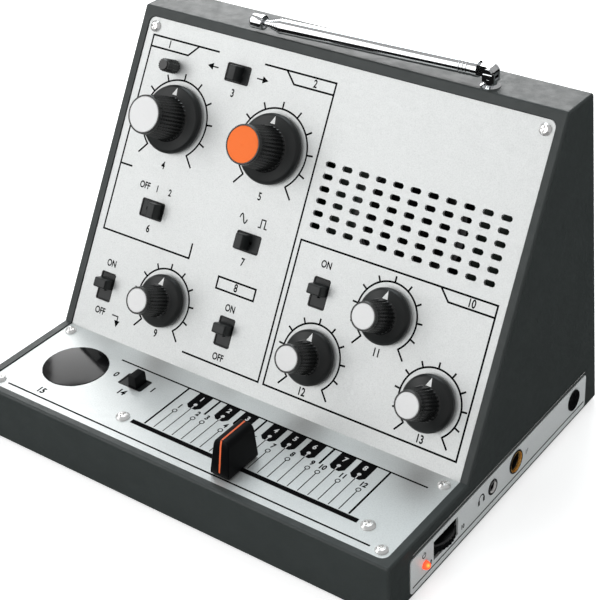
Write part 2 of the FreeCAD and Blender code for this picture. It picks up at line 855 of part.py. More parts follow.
# ---- slide switches ----
def build_switch_body():
    """Covered frame in which the slider runs, its rim flush in the window."""
    travel = 2 * three_way_step
    room_long = slider_plate_long + travel + 2 * switch_slack
    room_wide = slider_plate_wide + 2 * switch_slack
    body = centred_block(room_long + 2 * switch_wall, room_wide + 2 * switch_wall, board_z, -panel_thick)
    cover_low = -panel_thick - switch_cover
    floor = cover_low - slider_plate_thick - 2 * switch_slack
    room = centred_block(room_long, room_wide, floor, cover_low)
    gap, edge = 2 * switch_rim_gap, 2 * (switch_rim_gap + switch_rim_wall)
    rim = chamfered_slot(window_long - gap, window_wide - gap, window_corner, -panel_thick, 0)
    mouth = centred_block(window_long - edge, window_wide - edge, floor, 1)
    return body.fuse(rim).cut([room, mouth])


def build_slider():
    """Slider plate with the finger nub that stands out of the window."""
    top = -panel_thick - switch_cover - switch_slack
    plate = centred_block(slider_plate_long, slider_plate_wide, top - slider_plate_thick, top)
    bevel = 0.3
    nub = stacked([
        rectangle(nub_long, nub_wide, top - 0.5),
        rectangle(nub_end_long, nub_end_wide, nub_height - bevel),
        rectangle(nub_end_long - 2 * bevel, nub_end_wide - 2 * bevel, nub_height),
    ])
    return plate.fuse(nub).removeSplitter()


# ---- deck controls ----
def build_trigger_button():
    """Large domed push button with a retaining flange and a stem."""
    under = -panel_thick - 0.05
    edge = 0.25
    rise = trigger_crown - edge
    dome_r = (trigger_r ** 2 + rise ** 2) / (2 * rise)
    core = post(trigger_r, under - 1.4, 3)
    ball = Part.makeSphere(dome_r, Vec(0, 0, trigger_crown - dome_r))
    button = core.common(ball.fuse(post(trigger_r + 1, under - 2, -0.5)))
    flange = post(trigger_r + trigger_flange, under - 1.4, under)
    stem = post(2.0, under - 2.4, under - 1.0)
    return placed(moved(button.fuse([flange, stem]).removeSplitter(), trigger_x, trigger_y), DECK)


def build_trigger_switch():
    """Push switch on the deck board, below the button's stem."""
    stem_end = -panel_thick - 0.05 - 2.4
    top = stem_end - trigger_travel - 0.1
    body = centred_block(push_switch_size, push_switch_size, board_z, top - 0.6)
    plunger = post(3.0, top - 0.6, top)
    return placed(moved(body.fuse(plunger), trigger_x, trigger_y), DECK)


def deck_board_corners(inset=0.0):
    """Corners of the deck board, drawn flat, moved inwards by an inset."""
    for x in (trigger_x - deck_board_left + inset, octave_x + deck_board_right - inset):
        for y in (trigger_y - deck_board_front + inset, trigger_y + deck_board_back - inset):
            yield x, y


def build_deck_board():
    """Board that carries the trigger and octave switches."""
    corners = list(deck_board_corners())
    x0, y0 = corners[0]
    x1, y1 = corners[-1]
    return placed(block(x0, x1, y0, y1, board_z - board_thick, board_z), DECK)


def build_fader_body():
    """Long slide pot under the deck, open along its slot."""
    half = fader_travel / 2 + fader_end_room
    end = half + fader_screw_out + 4.0
    low = -panel_thick - fader_body_deep
    body = centred_block(2 * end, fader_body_wide, low, -panel_thick)
    room = centred_block(2 * half, fader_body_wide - 2.4, low + 1.0, -panel_thick - 1.0)
    slot = centred_block(2 * half, fader_slot_wide + 0.4, low + 2, 1)
    cuts = [room, slot]
    for sx in (-1, 1):
        x = sx * (half + fader_screw_out)
        cuts.append(post(screw_shank_r + screw_pilot_gap, low - 1, 1, x, 0))
    return placed(moved(body.cut(cuts), fader_x, fader_y), DECK)


def build_fader_screws():
    """Two domed screws that hold the fader under the deck."""
    screw = pan_head_screw(fader_screw_r, panel_thick + fader_screw_bite, screw_shank_r)
    out = fader_travel / 2 + fader_end_room + fader_screw_out
    places = [placed(moved(screw, fader_x + sx * out, fader_y), DECK) for sx in (-1, 1)]
    return group(places)


def build_fader_lever():
    """Metal lever on its wiper block."""
    low = -panel_thick - fader_body_deep
    wiper = centred_block(fader_lever_long + 2, fader_body_wide - 2.8, low + 1.3, -panel_thick - 1.3)
    blade = centred_block(fader_lever_long, fader_lever_thick, low + 3, 10.0)
    return placed(moved(wiper.fuse(blade), fader_rest_x, fader_y), DECK)


def build_fader_cap():
    """Tall wedge-shaped fader cap with a crowned ridge."""
    a, b = fader_cap_wide / 2, fader_cap_top_wide / 2
    lift, high = fader_cap_lift, fader_cap_height
    half = fader_cap_long / 2
    shoulder = high - 1.8
    left = [Vec(-b, -half, shoulder), Vec(-a, -half, lift + 1.2), Vec(-a, -half, lift)]
    right = [Vec(a, -half, lift), Vec(a, -half, lift + 1.2), Vec(b, -half, shoulder)]
    sides = Part.makePolygon(left + right)
    crown = Part.Arc(right[-1], Vec(0, -half, high), left[0]).toShape()
    across = Part.Face(Part.Wire(sides.Edges + [crown])).extrude(Vec(0, fader_cap_long, 0))
    near, far = fader_cap_top_front, fader_cap_top_back
    ends = [(-half, lift), (-half, lift + 1.2), (-near - 0.9, high - 3), (-near, high + 0.1),
            (far, high + 0.1), (far + 0.4, high - 3), (half, lift + 1.2), (half, lift)]
    cap = across.common(prism_x(ends, -a - 1, a + 1))
    slot = centred_block(fader_lever_long + 2 * press_gap, fader_lever_thick + 2 * press_gap, 0, 10.2)
    return placed(moved(cap.cut(slot), fader_rest_x, fader_y), DECK)


# ---- speaker and boards ----
def build_speaker():
    """Basket with magnet, and the cone inside it."""
    top = -panel_thick
    r, low = speaker_r, top - speaker_depth + magnet_thick
    seat, lip = top - 1.4, r - 3.6
    basket = revolve([
        (r, top), (r, top - sheet), (lip + 1.4, top - sheet), (lip + 0.4, seat - sheet),
        (magnet_r - 1, low), (magnet_r, low), (magnet_r, low - magnet_thick), (0, low - magnet_thick),
        (0, low + sheet), (magnet_r - 3, low + sheet), (lip - 2.4, seat), (lip, seat), (lip, top)])
    coil = 7.5
    cone = revolve([
        (lip - 0.1, seat), (lip - 0.1, seat + 0.6), (lip - 2.8, seat + 0.6), (coil - 0.1, low + 6.0),
        (0, low + 7.2), (0, low + 6.4), (coil - 0.6, low + 5.2), (coil - 0.6, low + 1.2),
        (coil, low + 1.2), (coil, low + 4.4), (lip - 3.4, seat)])
    place = SLOPE.multiply(FreeCAD.Placement(Vec(grille_x, grille_y(), 0), FreeCAD.Rotation()))
    return placed(basket, place), placed(cone, place)


def build_main_board():
    """Main board behind the slope, cut out round the speaker."""
    half = panel_half - 9.0
    board = block(-half, half, 10.0, slope_length - 10.0, board_z - board_thick, board_z)
    return placed(board.cut(post(speaker_r + 1.0, board_z - 2 * board_thick, 0, grille_x, grille_y())), SLOPE)


# ---- right side ----
def build_side_strip():
    """Aluminium strip with the holes of the jacks, lamp and wheel."""
    outer = half_width + strip_proud
    strip = side_outline(outer - strip_thick, outer)
    return strip.cut(group(side_cuts(outer - 2 * strip_thick, outer + 1)))


def jack(bore_r, collar_r, length, wide, high):
    """Socket drawn along X, its mouth at x = 0."""
    wall_x = -(wall + strip_proud + collar_proud)
    body = block(-length, wall_x, -wide / 2, wide / 2, -high / 2, high / 2)
    collar = rod_x(collar_r, wall_x, 0)
    return body.fuse(collar).cut(rod_x(bore_r, -length + 1.5, 1))


def build_jacks():
    """Main output and headphone sockets."""
    mouth = half_width + strip_proud + collar_proud
    z = rim_z + jack_up
    high = 2 * (z - base_top - board_thick)
    main = jack(main_bore_r, main_collar_r, main_length, main_wide, high)
    phones = jack(phones_bore_r, phones_collar_r, phones_length, phones_wide, high)
    return (moved(main, mouth, side_y(main_from_front), z),
            moved(phones, mouth, side_y(phones_from_front), z))


def build_led():
    """Round power lamp whose dome stands out of the strip."""
    y, z = side_y(led_from_front), rim_z + led_up
    flange = rod_x(led_r + 0.4, inner_half - 1.2, inner_half, y, z)
    centre = half_width - led_sunk
    body = rod_x(led_r, inner_half - 5.0, centre, y, z)
    dome = Part.makeSphere(led_r, Vec(centre, y, z))
    dome = dome.common(block(centre, centre + led_r, y - 5, y + 5, z - 5, z + 5))
    return body.fuse([flange, dome]).removeSplitter()


def wheel_centre():
    """(x, y) of the volume wheel's axis."""
    return half_width + wheel_proud - wheel_r, side_y(wheel_from_front)


def build_volume():
    """Knurled thumbwheel, and the pot that carries it on a spindle."""
    x, y = wheel_centre()
    top = rim_z + wheel_top_up
    low = top - wheel_thick
    rim = fluted(wheel_r, wheel_r, low + 0.5, top - 0.5, wheel_teeth, 0.35)
    r_in = wheel_r - 0.8
    disc = revolve([(0, low), (r_in, low), (wheel_r - 0.4, low + 0.5), (wheel_r - 0.4, top - 0.5),
                    (r_in, top), (0, top)])
    wheel = disc.fuse(rim).cut(post(1.5 + shaft_run_gap, low - 1, top + 1)).removeSplitter()
    board_top = base_top + board_thick
    pot = post(7.0, board_top, low - 0.4).fuse(post(1.5, low - 0.4, top - 0.3))
    return moved(wheel, x, y), moved(pot, x, y)


def build_side_board():
    """Board lying on the base, under the sockets and the volume pot."""
    x, y = wheel_centre()
    y0, y1 = y - side_board_front, side_y(main_from_front) + side_board_back
    return block(x - side_board_reach, inner_half - 0.5, y0, y1, base_top, base_top + board_thick)


# ---- antenna ----
def antenna_radius(i):
    """Outer radius of telescopic tube i, 0 being the fixed one."""
    return (antenna_tube_d - i * antenna_step_d) / 2


def antenna_end(i):
    """Where tube i ends when the antenna is pushed in."""
    return antenna_tube_end + i * antenna_step_show


def build_antenna_mount():
    """Washer and stud through the top, with a spindle for the swivel."""
    washer = revolve([
        (0, 0), (antenna_washer_r, 0), (antenna_washer_r, 0.4),
        (antenna_fork_r, antenna_washer_h), (0, antenna_washer_h)])
    stud = post(antenna_stud_r, -wall - antenna_stud_long, 0)
    spindle = post(antenna_spindle_r, antenna_washer_h, antenna_washer_h + 1.6)
    return moved(washer.fuse([stud, spindle]), antenna_x, antenna_y, top_z)


def build_antenna_nut():
    """Nut on the stud, under the case top."""
    nut = hexagon(antenna_nut_flat, -wall - antenna_nut_h, -wall)
    nut = nut.cut(post(antenna_stud_r + 0.03, -12, 1))
    return moved(nut, antenna_x, antenna_y, top_z)


def build_antenna_swivel():
    """Fork that turns on the spindle and carries the hinge pin."""
    low = antenna_washer_h + 0.05
    half_fork = antenna_ear_gap / 2 + antenna_ear
    base = post(antenna_fork_r, low, low + 2.1)
    ears = rod_y(antenna_fork_r, -half_fork, half_fork, 0, antenna_pivot_up)
    legs = block(-antenna_fork_r, antenna_fork_r, -half_fork, half_fork, low + 1.0, antenna_pivot_up)
    gap = block(-6, 6, -antenna_ear_gap / 2, antenna_ear_gap / 2, low + 2.1, antenna_pivot_up + 6)
    fork = ears.fuse(legs).common(post(antenna_fork_r + 1.2, 0, antenna_pivot_up + 6))
    fork = base.fuse(fork).cut(gap)
    fork = fork.cut(rod_y(antenna_pin_r + 0.02, -6, 6, 0, antenna_pivot_up))
    fork = fork.cut(post(antenna_spindle_r + antenna_run_gap, 0, antenna_washer_h + 1.7))
    return moved(turned(fork.removeSplitter(), antenna_yaw), antenna_x, antenna_y, top_z)


def build_hinge_pin():
    """Screw across the fork, with a slotted head towards the front."""
    half_fork = antenna_ear_gap / 2 + antenna_ear
    pin = rod_y(antenna_pin_r, -half_fork, half_fork + 0.3)
    head = rod_y(2.0, -half_fork - 0.9, -half_fork)
    head = head.cut(block(-3, 3, -half_fork - 1, -half_fork - 0.5, -0.3, 0.3))
    pin = turned(pin.fuse(head), antenna_yaw)
    return moved(pin, antenna_x, antenna_y, top_z + antenna_pivot_up)


def build_antenna_tube():
    """Outer tube with the tongue that hinges in the fork."""
    r = antenna_radius(0)
    thick = antenna_ear_gap / 2 - antenna_run_gap
    tongue = rod_y(antenna_fork_r - 0.1, -thick, thick).fuse(
        block(0, antenna_tube_start + 1, -thick, thick, 0.1 - antenna_fork_r + 0.3, antenna_fork_r - 0.4))
    tongue = tongue.cut(rod_y(antenna_pin_r + antenna_run_gap, -4, 4))
    tube = rod_x(r, antenna_tube_start, antenna_tube_end)
    bore = rod_x(antenna_radius(1) + antenna_run_gap, antenna_tube_start + 4, antenna_tube_end + 1)
    collar = rod_x(r + 0.15, antenna_tube_start, antenna_tube_start + 2.2)
    return placed(tongue.fuse([tube, collar]).cut(bore).removeSplitter(), ANTENNA)


def build_antenna_section(i):
    """Telescopic tube i, closed at its inner end."""
    start = antenna_tube_start + 4.5 + i
    tube = rod_x(antenna_radius(i), start, antenna_end(i))
    bore = rod_x(antenna_radius(i + 1) + antenna_run_gap, start + 0.8, antenna_end(i) + 1)
    return placed(tube.cut(bore), ANTENNA)


def build_antenna_rod():
    """Innermost rod and the tip screwed on its end."""
    i = middle_sections + 1
    start = antenna_tube_start + 4.5 + i
    end = antenna_end(i - 1) + antenna_rod_show
    r = antenna_radius(i)
    rod = rod_x(r, start, end + 2.0)
    far, soft = end + antenna_tip_long, 0.4
    tip = turned_x([
        (0, end), (antenna_tip_r - soft, end), (antenna_tip_r, end + soft),
        (antenna_tip_r, far - soft), (antenna_tip_r - soft, far), (0, far)])
    tip = tip.cut(rod_x(r + press_gap, end - 1, end + 2.05))
    return placed(rod, ANTENNA), placed(tip, ANTENNA)


def main():
    """Build and write every node."""
    os.makedirs("parts", exist_ok=True)
    export("case_shell", build_case())
    export("base_plate", build_base())
    export("base_screws", build_base_screws())
    export("rubber_feet", build_feet())
    export("battery_door", build_battery_door())
    export("batteries", build_batteries())
    export("front_panel", build_panel())
    export("panel_screws", build_panel_screws())
    for name, (x, y, kind) in KNOBS.items():
        knob, shaft = build_knob(kind)
        pair = group([moved(knob, x, y), moved(shaft, x, y)])
        export(name + "_knob", placed(pair, SLOPE))
        export(name + "_cap", placed(moved(build_cap(kind), x, y), SLOPE))
    places = [(x, y) for x, y, _ in KNOBS.values()]
    export("knob_pots", on_slope_group(build_pot(), places))
    export("pot_nuts", on_slope_group(build_pot_nut(), places))
    trimmer_knob, trimmer_pot = build_trimmer()
    export("trimmer_knob", on_slope_group(trimmer_knob, [TRIMMER]))
    export("trimmer_pot", on_slope_group(trimmer_pot, [TRIMMER]))
    body, slider = build_switch_body(), build_slider()
    export("slide_switches", group([placed(body, switch_place(name)) for name in SWITCHES]))
    for name, spec in SWITCHES.items():
        export(name + "_slider", placed(moved(slider, spec[4]), switch_place(name)))
    export("trigger_button", build_trigger_button())
    export("trigger_switch", build_trigger_switch())
    export("deck_circuit_board", build_deck_board())
    export("fader_body", build_fader_body())
    export("fader_screws", build_fader_screws())
    export("fader_lever", build_fader_lever())
    export("fader_cap", build_fader_cap())
    basket, cone = build_speaker()
    export("speaker_basket", basket)
    export("speaker_cone", cone)
    export("main_circuit_board", build_main_board())
    export("side_strip", build_side_strip())
    main_jack, phones_jack = build_jacks()
    export("main_out_jack", main_jack)
    export("headphone_jack", phones_jack)
    export("power_led", build_led())
    wheel, pot = build_volume()
    export("volume_wheel", wheel)
    export("volume_pot", pot)
    export("side_circuit_board", build_side_board())
    export("antenna_mount", build_antenna_mount())
    export("antenna_nut", build_antenna_nut())
    export("antenna_swivel", build_antenna_swivel())
    export("antenna_hinge_pin", build_hinge_pin())
    export("antenna_tube", build_antenna_tube())
    for i in range(1, middle_sections + 1):
        export("antenna_section_%d" % (i + 1), build_antenna_section(i))
    rod, tip = build_antenna_rod()
    export("antenna_rod", rod)
    export("antenna_tip", tip)


main()
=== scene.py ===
"""Looks of the desktop theremin: finishes, print, dials, switches, fader cap, strip, antenna, studio.

Sizes are in millimetres and are scaled to metres where a mesh is made. A control face is
drawn flat, with x across, y away from the fold and z out of the face, and then placed.
"""
from __future__ import annotations

import json
import logging
import math
from dataclasses import dataclass, field
from enum import Enum
from typing import Callable, Iterable, Sequence

import bmesh
import bpy
from mathutils import Matrix, Vector

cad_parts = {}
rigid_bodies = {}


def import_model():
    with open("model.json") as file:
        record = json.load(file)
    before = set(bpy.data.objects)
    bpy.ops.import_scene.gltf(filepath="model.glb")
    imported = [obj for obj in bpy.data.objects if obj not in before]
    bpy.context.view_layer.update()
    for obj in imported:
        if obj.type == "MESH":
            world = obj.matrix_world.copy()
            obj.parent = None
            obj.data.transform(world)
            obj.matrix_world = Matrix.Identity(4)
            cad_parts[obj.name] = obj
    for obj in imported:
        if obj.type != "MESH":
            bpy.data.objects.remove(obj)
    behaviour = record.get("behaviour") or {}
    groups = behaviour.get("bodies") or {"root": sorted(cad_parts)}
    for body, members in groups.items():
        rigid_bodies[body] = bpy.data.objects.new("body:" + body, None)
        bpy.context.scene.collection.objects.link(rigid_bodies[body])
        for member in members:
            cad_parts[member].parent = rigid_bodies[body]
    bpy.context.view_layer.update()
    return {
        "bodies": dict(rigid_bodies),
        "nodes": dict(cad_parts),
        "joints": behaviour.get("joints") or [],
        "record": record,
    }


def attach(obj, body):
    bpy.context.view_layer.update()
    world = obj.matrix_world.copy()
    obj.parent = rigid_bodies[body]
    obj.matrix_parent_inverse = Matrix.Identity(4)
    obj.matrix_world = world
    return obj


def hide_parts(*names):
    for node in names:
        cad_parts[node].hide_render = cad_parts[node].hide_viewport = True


LOG = logging.getLogger("theremin")

MM = 0.001
CENTRE_X = -1.35
FOLD_Y = -26.2
DECK_Z = 24.8
SLOPE_ANGLE = 61.0
SLOPE_LENGTH = 141.306
STRIP_X = 103.15
FRONT_Y = -81.8
CONSOLE = "console"

PATCH_SCALE = 60.0      # soft colour patches, in cells to a metre
GLOSS_SCALE = 260.0     # patches of uneven gloss
CAPITAL = 0.70          # height of a capital as a share of the type's size
GROWTHS = (1.0, 0.93, 0.86, 0.77, 0.66, 0.5, 0.3)

Point = tuple[float, float]
Place = tuple[float, float, float]
Colour = tuple[float, float, float]


# ---------------------------------------------------------------- faces
class Face(Enum):
    """A flat outer face that carries controls or print."""

    SLOPE = "slope"
    DECK = "deck"
    SIDE = "side"

    def matrix(self) -> Matrix:
        """Return the placement of the face, in metres.

        Returns:
            The matrix from the flat drawing to the part's frame.
        """
        fold = Vector((CENTRE_X, FOLD_Y, DECK_Z)) * MM
        if self is Face.SLOPE:
            turn = Matrix.Rotation(math.radians(SLOPE_ANGLE), 4, "X")
            return Matrix.Translation(fold) @ turn
        if self is Face.DECK:
            return Matrix.Translation(fold)
        across = Matrix(((0, 0, 1), (1, 0, 0), (0, 1, 0))).to_4x4()
        return Matrix.Translation(Vector((STRIP_X, 0, 0)) * MM) @ across


# ---------------------------------------------------------------- shader graphs
class Graph:
    """A material's node tree, built up from a Principled shader."""

    def __init__(self, name: str) -> None:
        """Start an empty material with a shader and an output.

        Args:
            name: The material's name.
        """
        self.material = bpy.data.materials.new(name)
        self.material.use_nodes = True
        self.tree = self.material.node_tree
        self.tree.nodes.clear()
        self.shader = self.node("ShaderNodeBsdfPrincipled")
        output = self.node("ShaderNodeOutputMaterial")
        self.link(self.shader.outputs["BSDF"], output.inputs["Surface"])
        self.place = self.node("ShaderNodeTexCoord").outputs["Object"]

    def node(self, kind: str) -> bpy.types.Node:
        """Return a new node of a kind."""
        return self.tree.nodes.new(kind)

    def link(self, source: bpy.types.NodeSocket, target: bpy.types.NodeSocket) -> None:
        """Join an output to an input."""
        self.tree.links.new(source, target)

    def stretched(self, scale: Sequence[float]) -> bpy.types.NodeSocket:
        """Return object coordinates stretched along the axes.

        Args:
            scale: Factors along X, Y and Z.

        Returns:
            The socket of the stretched coordinates.
        """
        mapping = self.node("ShaderNodeMapping")
        mapping.inputs["Scale"].default_value = scale
        self.link(self.place, mapping.inputs["Vector"])
        return mapping.outputs["Vector"]

    def noise(self, scale: float, detail: float = 3.0, rough: float = 0.55,
              stretch: Sequence[float] = (1.0, 1.0, 1.0)) -> bpy.types.NodeSocket:
        """Return a noise between 0 and 1.

        Args:
            scale: Cells in a metre.
            detail: Octaves.
            rough: Weight of the finer octaves.
            stretch: Factors on the coordinates.

        Returns:
            The noise's value socket.
        """
        noise = self.node("ShaderNodeTexNoise")
        noise.inputs["Scale"].default_value = scale
        noise.inputs["Detail"].default_value = detail
        noise.inputs["Roughness"].default_value = rough
        self.link(self.stretched(stretch), noise.inputs["Vector"])
        return noise.outputs["Fac"]

    def cells(self, scale: float) -> bpy.types.NodeSocket:
        """Return the distance to the nearest of many scattered points.

        Args:
            scale: Points in a metre.

        Returns:
            The distance's socket.
        """
        cells = self.node("ShaderNodeTexVoronoi")
        cells.inputs["Scale"].default_value = scale
        self.link(self.place, cells.inputs["Vector"])
        return cells.outputs["Distance"]

    def spread(self, value: bpy.types.NodeSocket, low: float, high: float,
               from_low: float = 0.3, from_high: float = 0.7) -> bpy.types.NodeSocket:
        """Return a value moved into another range.

        Args:
            value: The value to move.
            low: Result at from_low.
            high: Result at from_high.
            from_low: Value that gives low.
            from_high: Value that gives high.

        Returns:
            The result's socket.
        """
        ranges = self.node("ShaderNodeMapRange")
        ranges.inputs["From Min"].default_value = from_low
        ranges.inputs["From Max"].default_value = from_high
        ranges.inputs["To Min"].default_value = low
        ranges.inputs["To Max"].default_value = high
        self.link(value, ranges.inputs["Value"])
        return ranges.outputs["Result"]

    def ramp(self, value: bpy.types.NodeSocket,
             stops: Sequence[tuple[float, Colour]]) -> bpy.types.NodeSocket:
        """Return a colour picked by a value.

        Args:
            value: Value between 0 and 1.
            stops: Positions and their colours.

        Returns:
            The colour's socket.
        """
        ramp = self.node("ShaderNodeValToRGB")
        points = ramp.color_ramp.elements
        while len(points) < len(stops):
            points.new(0.5)
        for point, (place, colour) in zip(points, stops):
            point.position = place
            point.color = (*colour, 1.0)
        self.link(value, ramp.inputs["Fac"])
        return ramp.outputs["Color"]

    def bump(self, height: bpy.types.NodeSocket, depth: float, strength: float = 1.0,
             under: bpy.types.NodeSocket | None = None) -> bpy.types.NodeSocket:
        """Return a bumped normal.

        Args:
            height: Height between 0 and 1.
            depth: Height in metres at 1.
            strength: Share of the bump.
            under: Normal of a bump below this one.

        Returns:
            The normal's socket.
        """
        bump = self.node("ShaderNodeBump")
        bump.inputs["Distance"].default_value = depth
        bump.inputs["Strength"].default_value = strength
        self.link(height, bump.inputs["Height"])
        if under is not None:
            self.link(under, bump.inputs["Normal"])
        return bump.outputs["Normal"]


def shade(colour: Colour, factor: float) -> Colour:
    """Return a colour made lighter or darker."""
    return tuple(min(1.0, channel * factor) for channel in colour)


# ---------------------------------------------------------------- finishes
@dataclass(frozen=True)
class Finish:
    """A plain finish with a fine grain, a little mottle and uneven gloss.

    The grain counts cells to a metre, and its depth is in metres.
    """

    name: str
    colour: Colour
    roughness: float
    metallic: float = 0.0
    grain: float = 1800.0
    depth: float = 0.00002
    mottle: float = 0.06
    gloss_spread: float = 0.06
    specular: float = 0.5

    def build(self) -> bpy.types.Material:
        """Return the finished material."""
        graph = Graph(self.name)
        shader = graph.shader.inputs
        shader["Metallic"].default_value = self.metallic
        shader["Specular IOR Level"].default_value = self.specular
        self.paint(graph)
        self.texture(graph)
        return graph.material

    def paint(self, graph: Graph) -> None:
        """Colour and gloss of the surface.

        Args:
            graph: The material's graph.
        """
        patches = graph.noise(PATCH_SCALE, 4.0)
        stops = [(0.3, shade(self.colour, 1 - self.mottle)), (0.7, shade(self.colour, 1 + self.mottle))]
        graph.link(graph.ramp(patches, stops), graph.shader.inputs["Base Color"])
        gloss = graph.noise(GLOSS_SCALE, 2.0)
        low, high = self.roughness - self.gloss_spread, self.roughness + self.gloss_spread
        graph.link(graph.spread(gloss, max(0.02, low), min(1.0, high)), graph.shader.inputs["Roughness"])

    def texture(self, graph: Graph) -> None:
        """Fine relief of the surface.

        Args:
            graph: The material's graph.
        """
        grain = graph.noise(self.grain, 3.0, 0.6)
        graph.link(graph.bump(grain, self.depth, 0.6), graph.shader.inputs["Normal"])


@dataclass(frozen=True)
class SparkGrained(Finish):
    """Moulded housing plastic with a close spark-eroded texture."""

    pits: float = 2600.0

    def texture(self, graph: Graph) -> None:
        """Rounded pits over a soft unevenness.

        Args:
            graph: The material's graph.
        """
        soft = graph.bump(graph.noise(900.0, 2.0), self.depth, 0.5)
        pits = graph.bump(graph.cells(self.pits), self.depth, 0.7, soft)
        graph.link(pits, graph.shader.inputs["Normal"])


@dataclass(frozen=True)
class SilverGrain(Finish):
    """Silver control panel whose fine flakes catch the light."""

    flake: float = 1900.0
    sparkle: float = 0.06

    def paint(self, graph: Graph) -> None:
        """Flakes of slightly different brightness and gloss.

        Args:
            graph: The material's graph.
        """
        fleck = graph.noise(self.flake, 2.0, 0.75)
        stops = [
            (0.28, shade(self.colour, 1 - 1.6 * self.sparkle)),
            (0.50, self.colour),
            (0.72, shade(self.colour, 1 + self.sparkle)),
        ]
        graph.link(graph.ramp(fleck, stops), graph.shader.inputs["Base Color"])
        low, high = self.roughness - self.gloss_spread, self.roughness + self.gloss_spread
        graph.link(graph.spread(graph.noise(700.0, 3.0), low, high), graph.shader.inputs["Roughness"])


@dataclass(frozen=True)
class Brushed(Finish):
    """Metal brushed along one axis."""

    along: Place = (1.0, 0.03, 1.0)

    def texture(self, graph: Graph) -> None:
        """Long fine scratches.

        Args:
            graph: The material's graph.
        """
        scratches = graph.noise(self.grain, 4.0, 0.7, self.along)
        graph.link(graph.bump(scratches, self.depth, 0.5), graph.shader.inputs["Normal"])


@dataclass(frozen=True)
class LampBody(Finish):
    """Tinted lamp that glows from inside, with its centre and reach in metres."""

    glow: Colour = (1.0, 0.10, 0.03)
    heart: Colour = (1.0, 0.52, 0.07)
    power: float = 1.5
    centre: Place = (0.1050, -0.0587, 0.0114)
    reach: float = 0.0019

    def paint(self, graph: Graph) -> None:
        """Tinted colour with a brighter heart.

        Args:
            graph: The material's graph.
        """
        super().paint(graph)
        reach = graph.node("ShaderNodeVectorMath")
        reach.operation = "DISTANCE"
        reach.inputs[1].default_value = self.centre
        graph.link(graph.place, reach.inputs[0])
        stops = [(0.0, self.heart), (0.5, self.glow), (1.0, shade(self.glow, 0.6))]
        glow = graph.ramp(graph.spread(reach.outputs["Value"], 0.0, 1.0, 0.0, self.reach), stops)
        graph.link(glow, graph.shader.inputs["Emission Color"])
        graph.shader.inputs["Emission Strength"].default_value = self.power


class Finishes:
    """Every finish of the instrument, built once and shared."""

    HOUSING = SparkGrained("housing_plastic", (0.034, 0.041, 0.040), 0.46, depth=0.000035, specular=0.42)
    PANEL = SilverGrain("silver_panel", (0.70, 0.715, 0.71), 0.47, metallic=0.55, depth=0.000012,
                        gloss_spread=0.05)
    STRIP = SilverGrain("silver_strip", (0.78, 0.81, 0.81), 0.42, metallic=0.3, flake=2200.0,
                        sparkle=0.06, gloss_spread=0.04)
    KNOB = Finish("knob_black", (0.013, 0.0145, 0.0145), 0.34, depth=0.0, gloss_spread=0.02, mottle=0.03,
                  specular=0.38)
    GRIP = Finish("grip_black", (0.0035, 0.004, 0.004), 0.24, depth=0.0, gloss_spread=0.02, mottle=0.03,
                  specular=0.7)
    NUB = Finish("slider_black", (0.012, 0.014, 0.014), 0.36, depth=0.000006, gloss_spread=0.03, specular=0.4)
    CAP_WHITE = Finish("cap_white", (0.80, 0.80, 0.80), 0.38, mottle=0.012, depth=0.000004)
    CAP_ORANGE = Finish("cap_orange", (1.0, 0.19, 0.034), 0.5, mottle=0.012, depth=0.000004, specular=0.2)
    POINTER = Finish("pointer_white", (0.96, 0.96, 0.95), 0.5, mottle=0.01, depth=0.000003)
    LINE = Finish("fader_line_orange", (0.86, 0.14, 0.03), 0.45, mottle=0.04, depth=0.000004)
    INK = Finish("print_black", (0.003, 0.003, 0.0035), 0.75, mottle=0.15, grain=2600.0, depth=0.000003,
                 specular=0.05)
    PALE_INK = Finish("print_pale", (0.78, 0.78, 0.78), 0.5, mottle=0.04, grain=2600.0, depth=0.000003)
    GLOSS = Finish("button_gloss", (0.004, 0.004, 0.0045), 0.10, depth=0.000002, gloss_spread=0.02,
                   specular=0.2)
    CHROME = Finish("antenna_chrome", (0.88, 0.89, 0.90), 0.07, metallic=1.0, depth=0.000001,
                    gloss_spread=0.02, mottle=0.01)
    STEEL = Finish("plated_steel", (0.60, 0.61, 0.62), 0.24, metallic=1.0, depth=0.000004)
    BRIGHT = Finish("bright_screw", (0.95, 0.94, 0.93), 0.20, metallic=0.7, depth=0.000003)
    FADER = Finish("fader_black", (0.002, 0.0023, 0.0028), 0.42, depth=0.000004, gloss_spread=0.03,
                   specular=0.12)
    GOLD = Finish("gold_plating", (0.98, 0.56, 0.16), 0.26, metallic=0.75, depth=0.000003, gloss_spread=0.04)
    RUBBER = Finish("foot_rubber", (0.022, 0.022, 0.022), 0.85, depth=0.00004, specular=0.3)
    SOCKET = Finish("socket_black", (0.008, 0.008, 0.0085), 0.36, depth=0.000004, specular=0.35)
    BOARD = Finish("board_mask", (0.006, 0.020, 0.011), 0.4, mottle=0.15, depth=0.00001, specular=0.3)
    CASE_METAL = Brushed("can_metal", (0.20, 0.20, 0.21), 0.34, metallic=1.0, grain=2400.0)
    BASKET = Finish("basket_black", (0.008, 0.008, 0.008), 0.5, depth=0.00001, specular=0.3)
    PAPER = Finish("cone_paper", (0.006, 0.006, 0.006), 0.85, mottle=0.25, grain=900.0, depth=0.0001,
                   specular=0.15)
    CELL = Finish("cell_sleeve", (0.06, 0.065, 0.075), 0.30, mottle=0.1, metallic=0.3)
    LAMP = LampBody("lamp_red", (0.70, 0.05, 0.02), 0.15, depth=0.000002, gloss_spread=0.02)

    def __init__(self) -> None:
        """Start with nothing built."""
        self._built: dict[str, bpy.types.Material] = {}

    def get(self, finish: Finish) -> bpy.types.Material:
        """Return the material of a finish, building it at first use.

        Args:
            finish: One of the finishes above.

        Returns:
            Its material.
        """
        if finish.name not in self._built:
            self._built[finish.name] = finish.build()
        return self._built[finish.name]


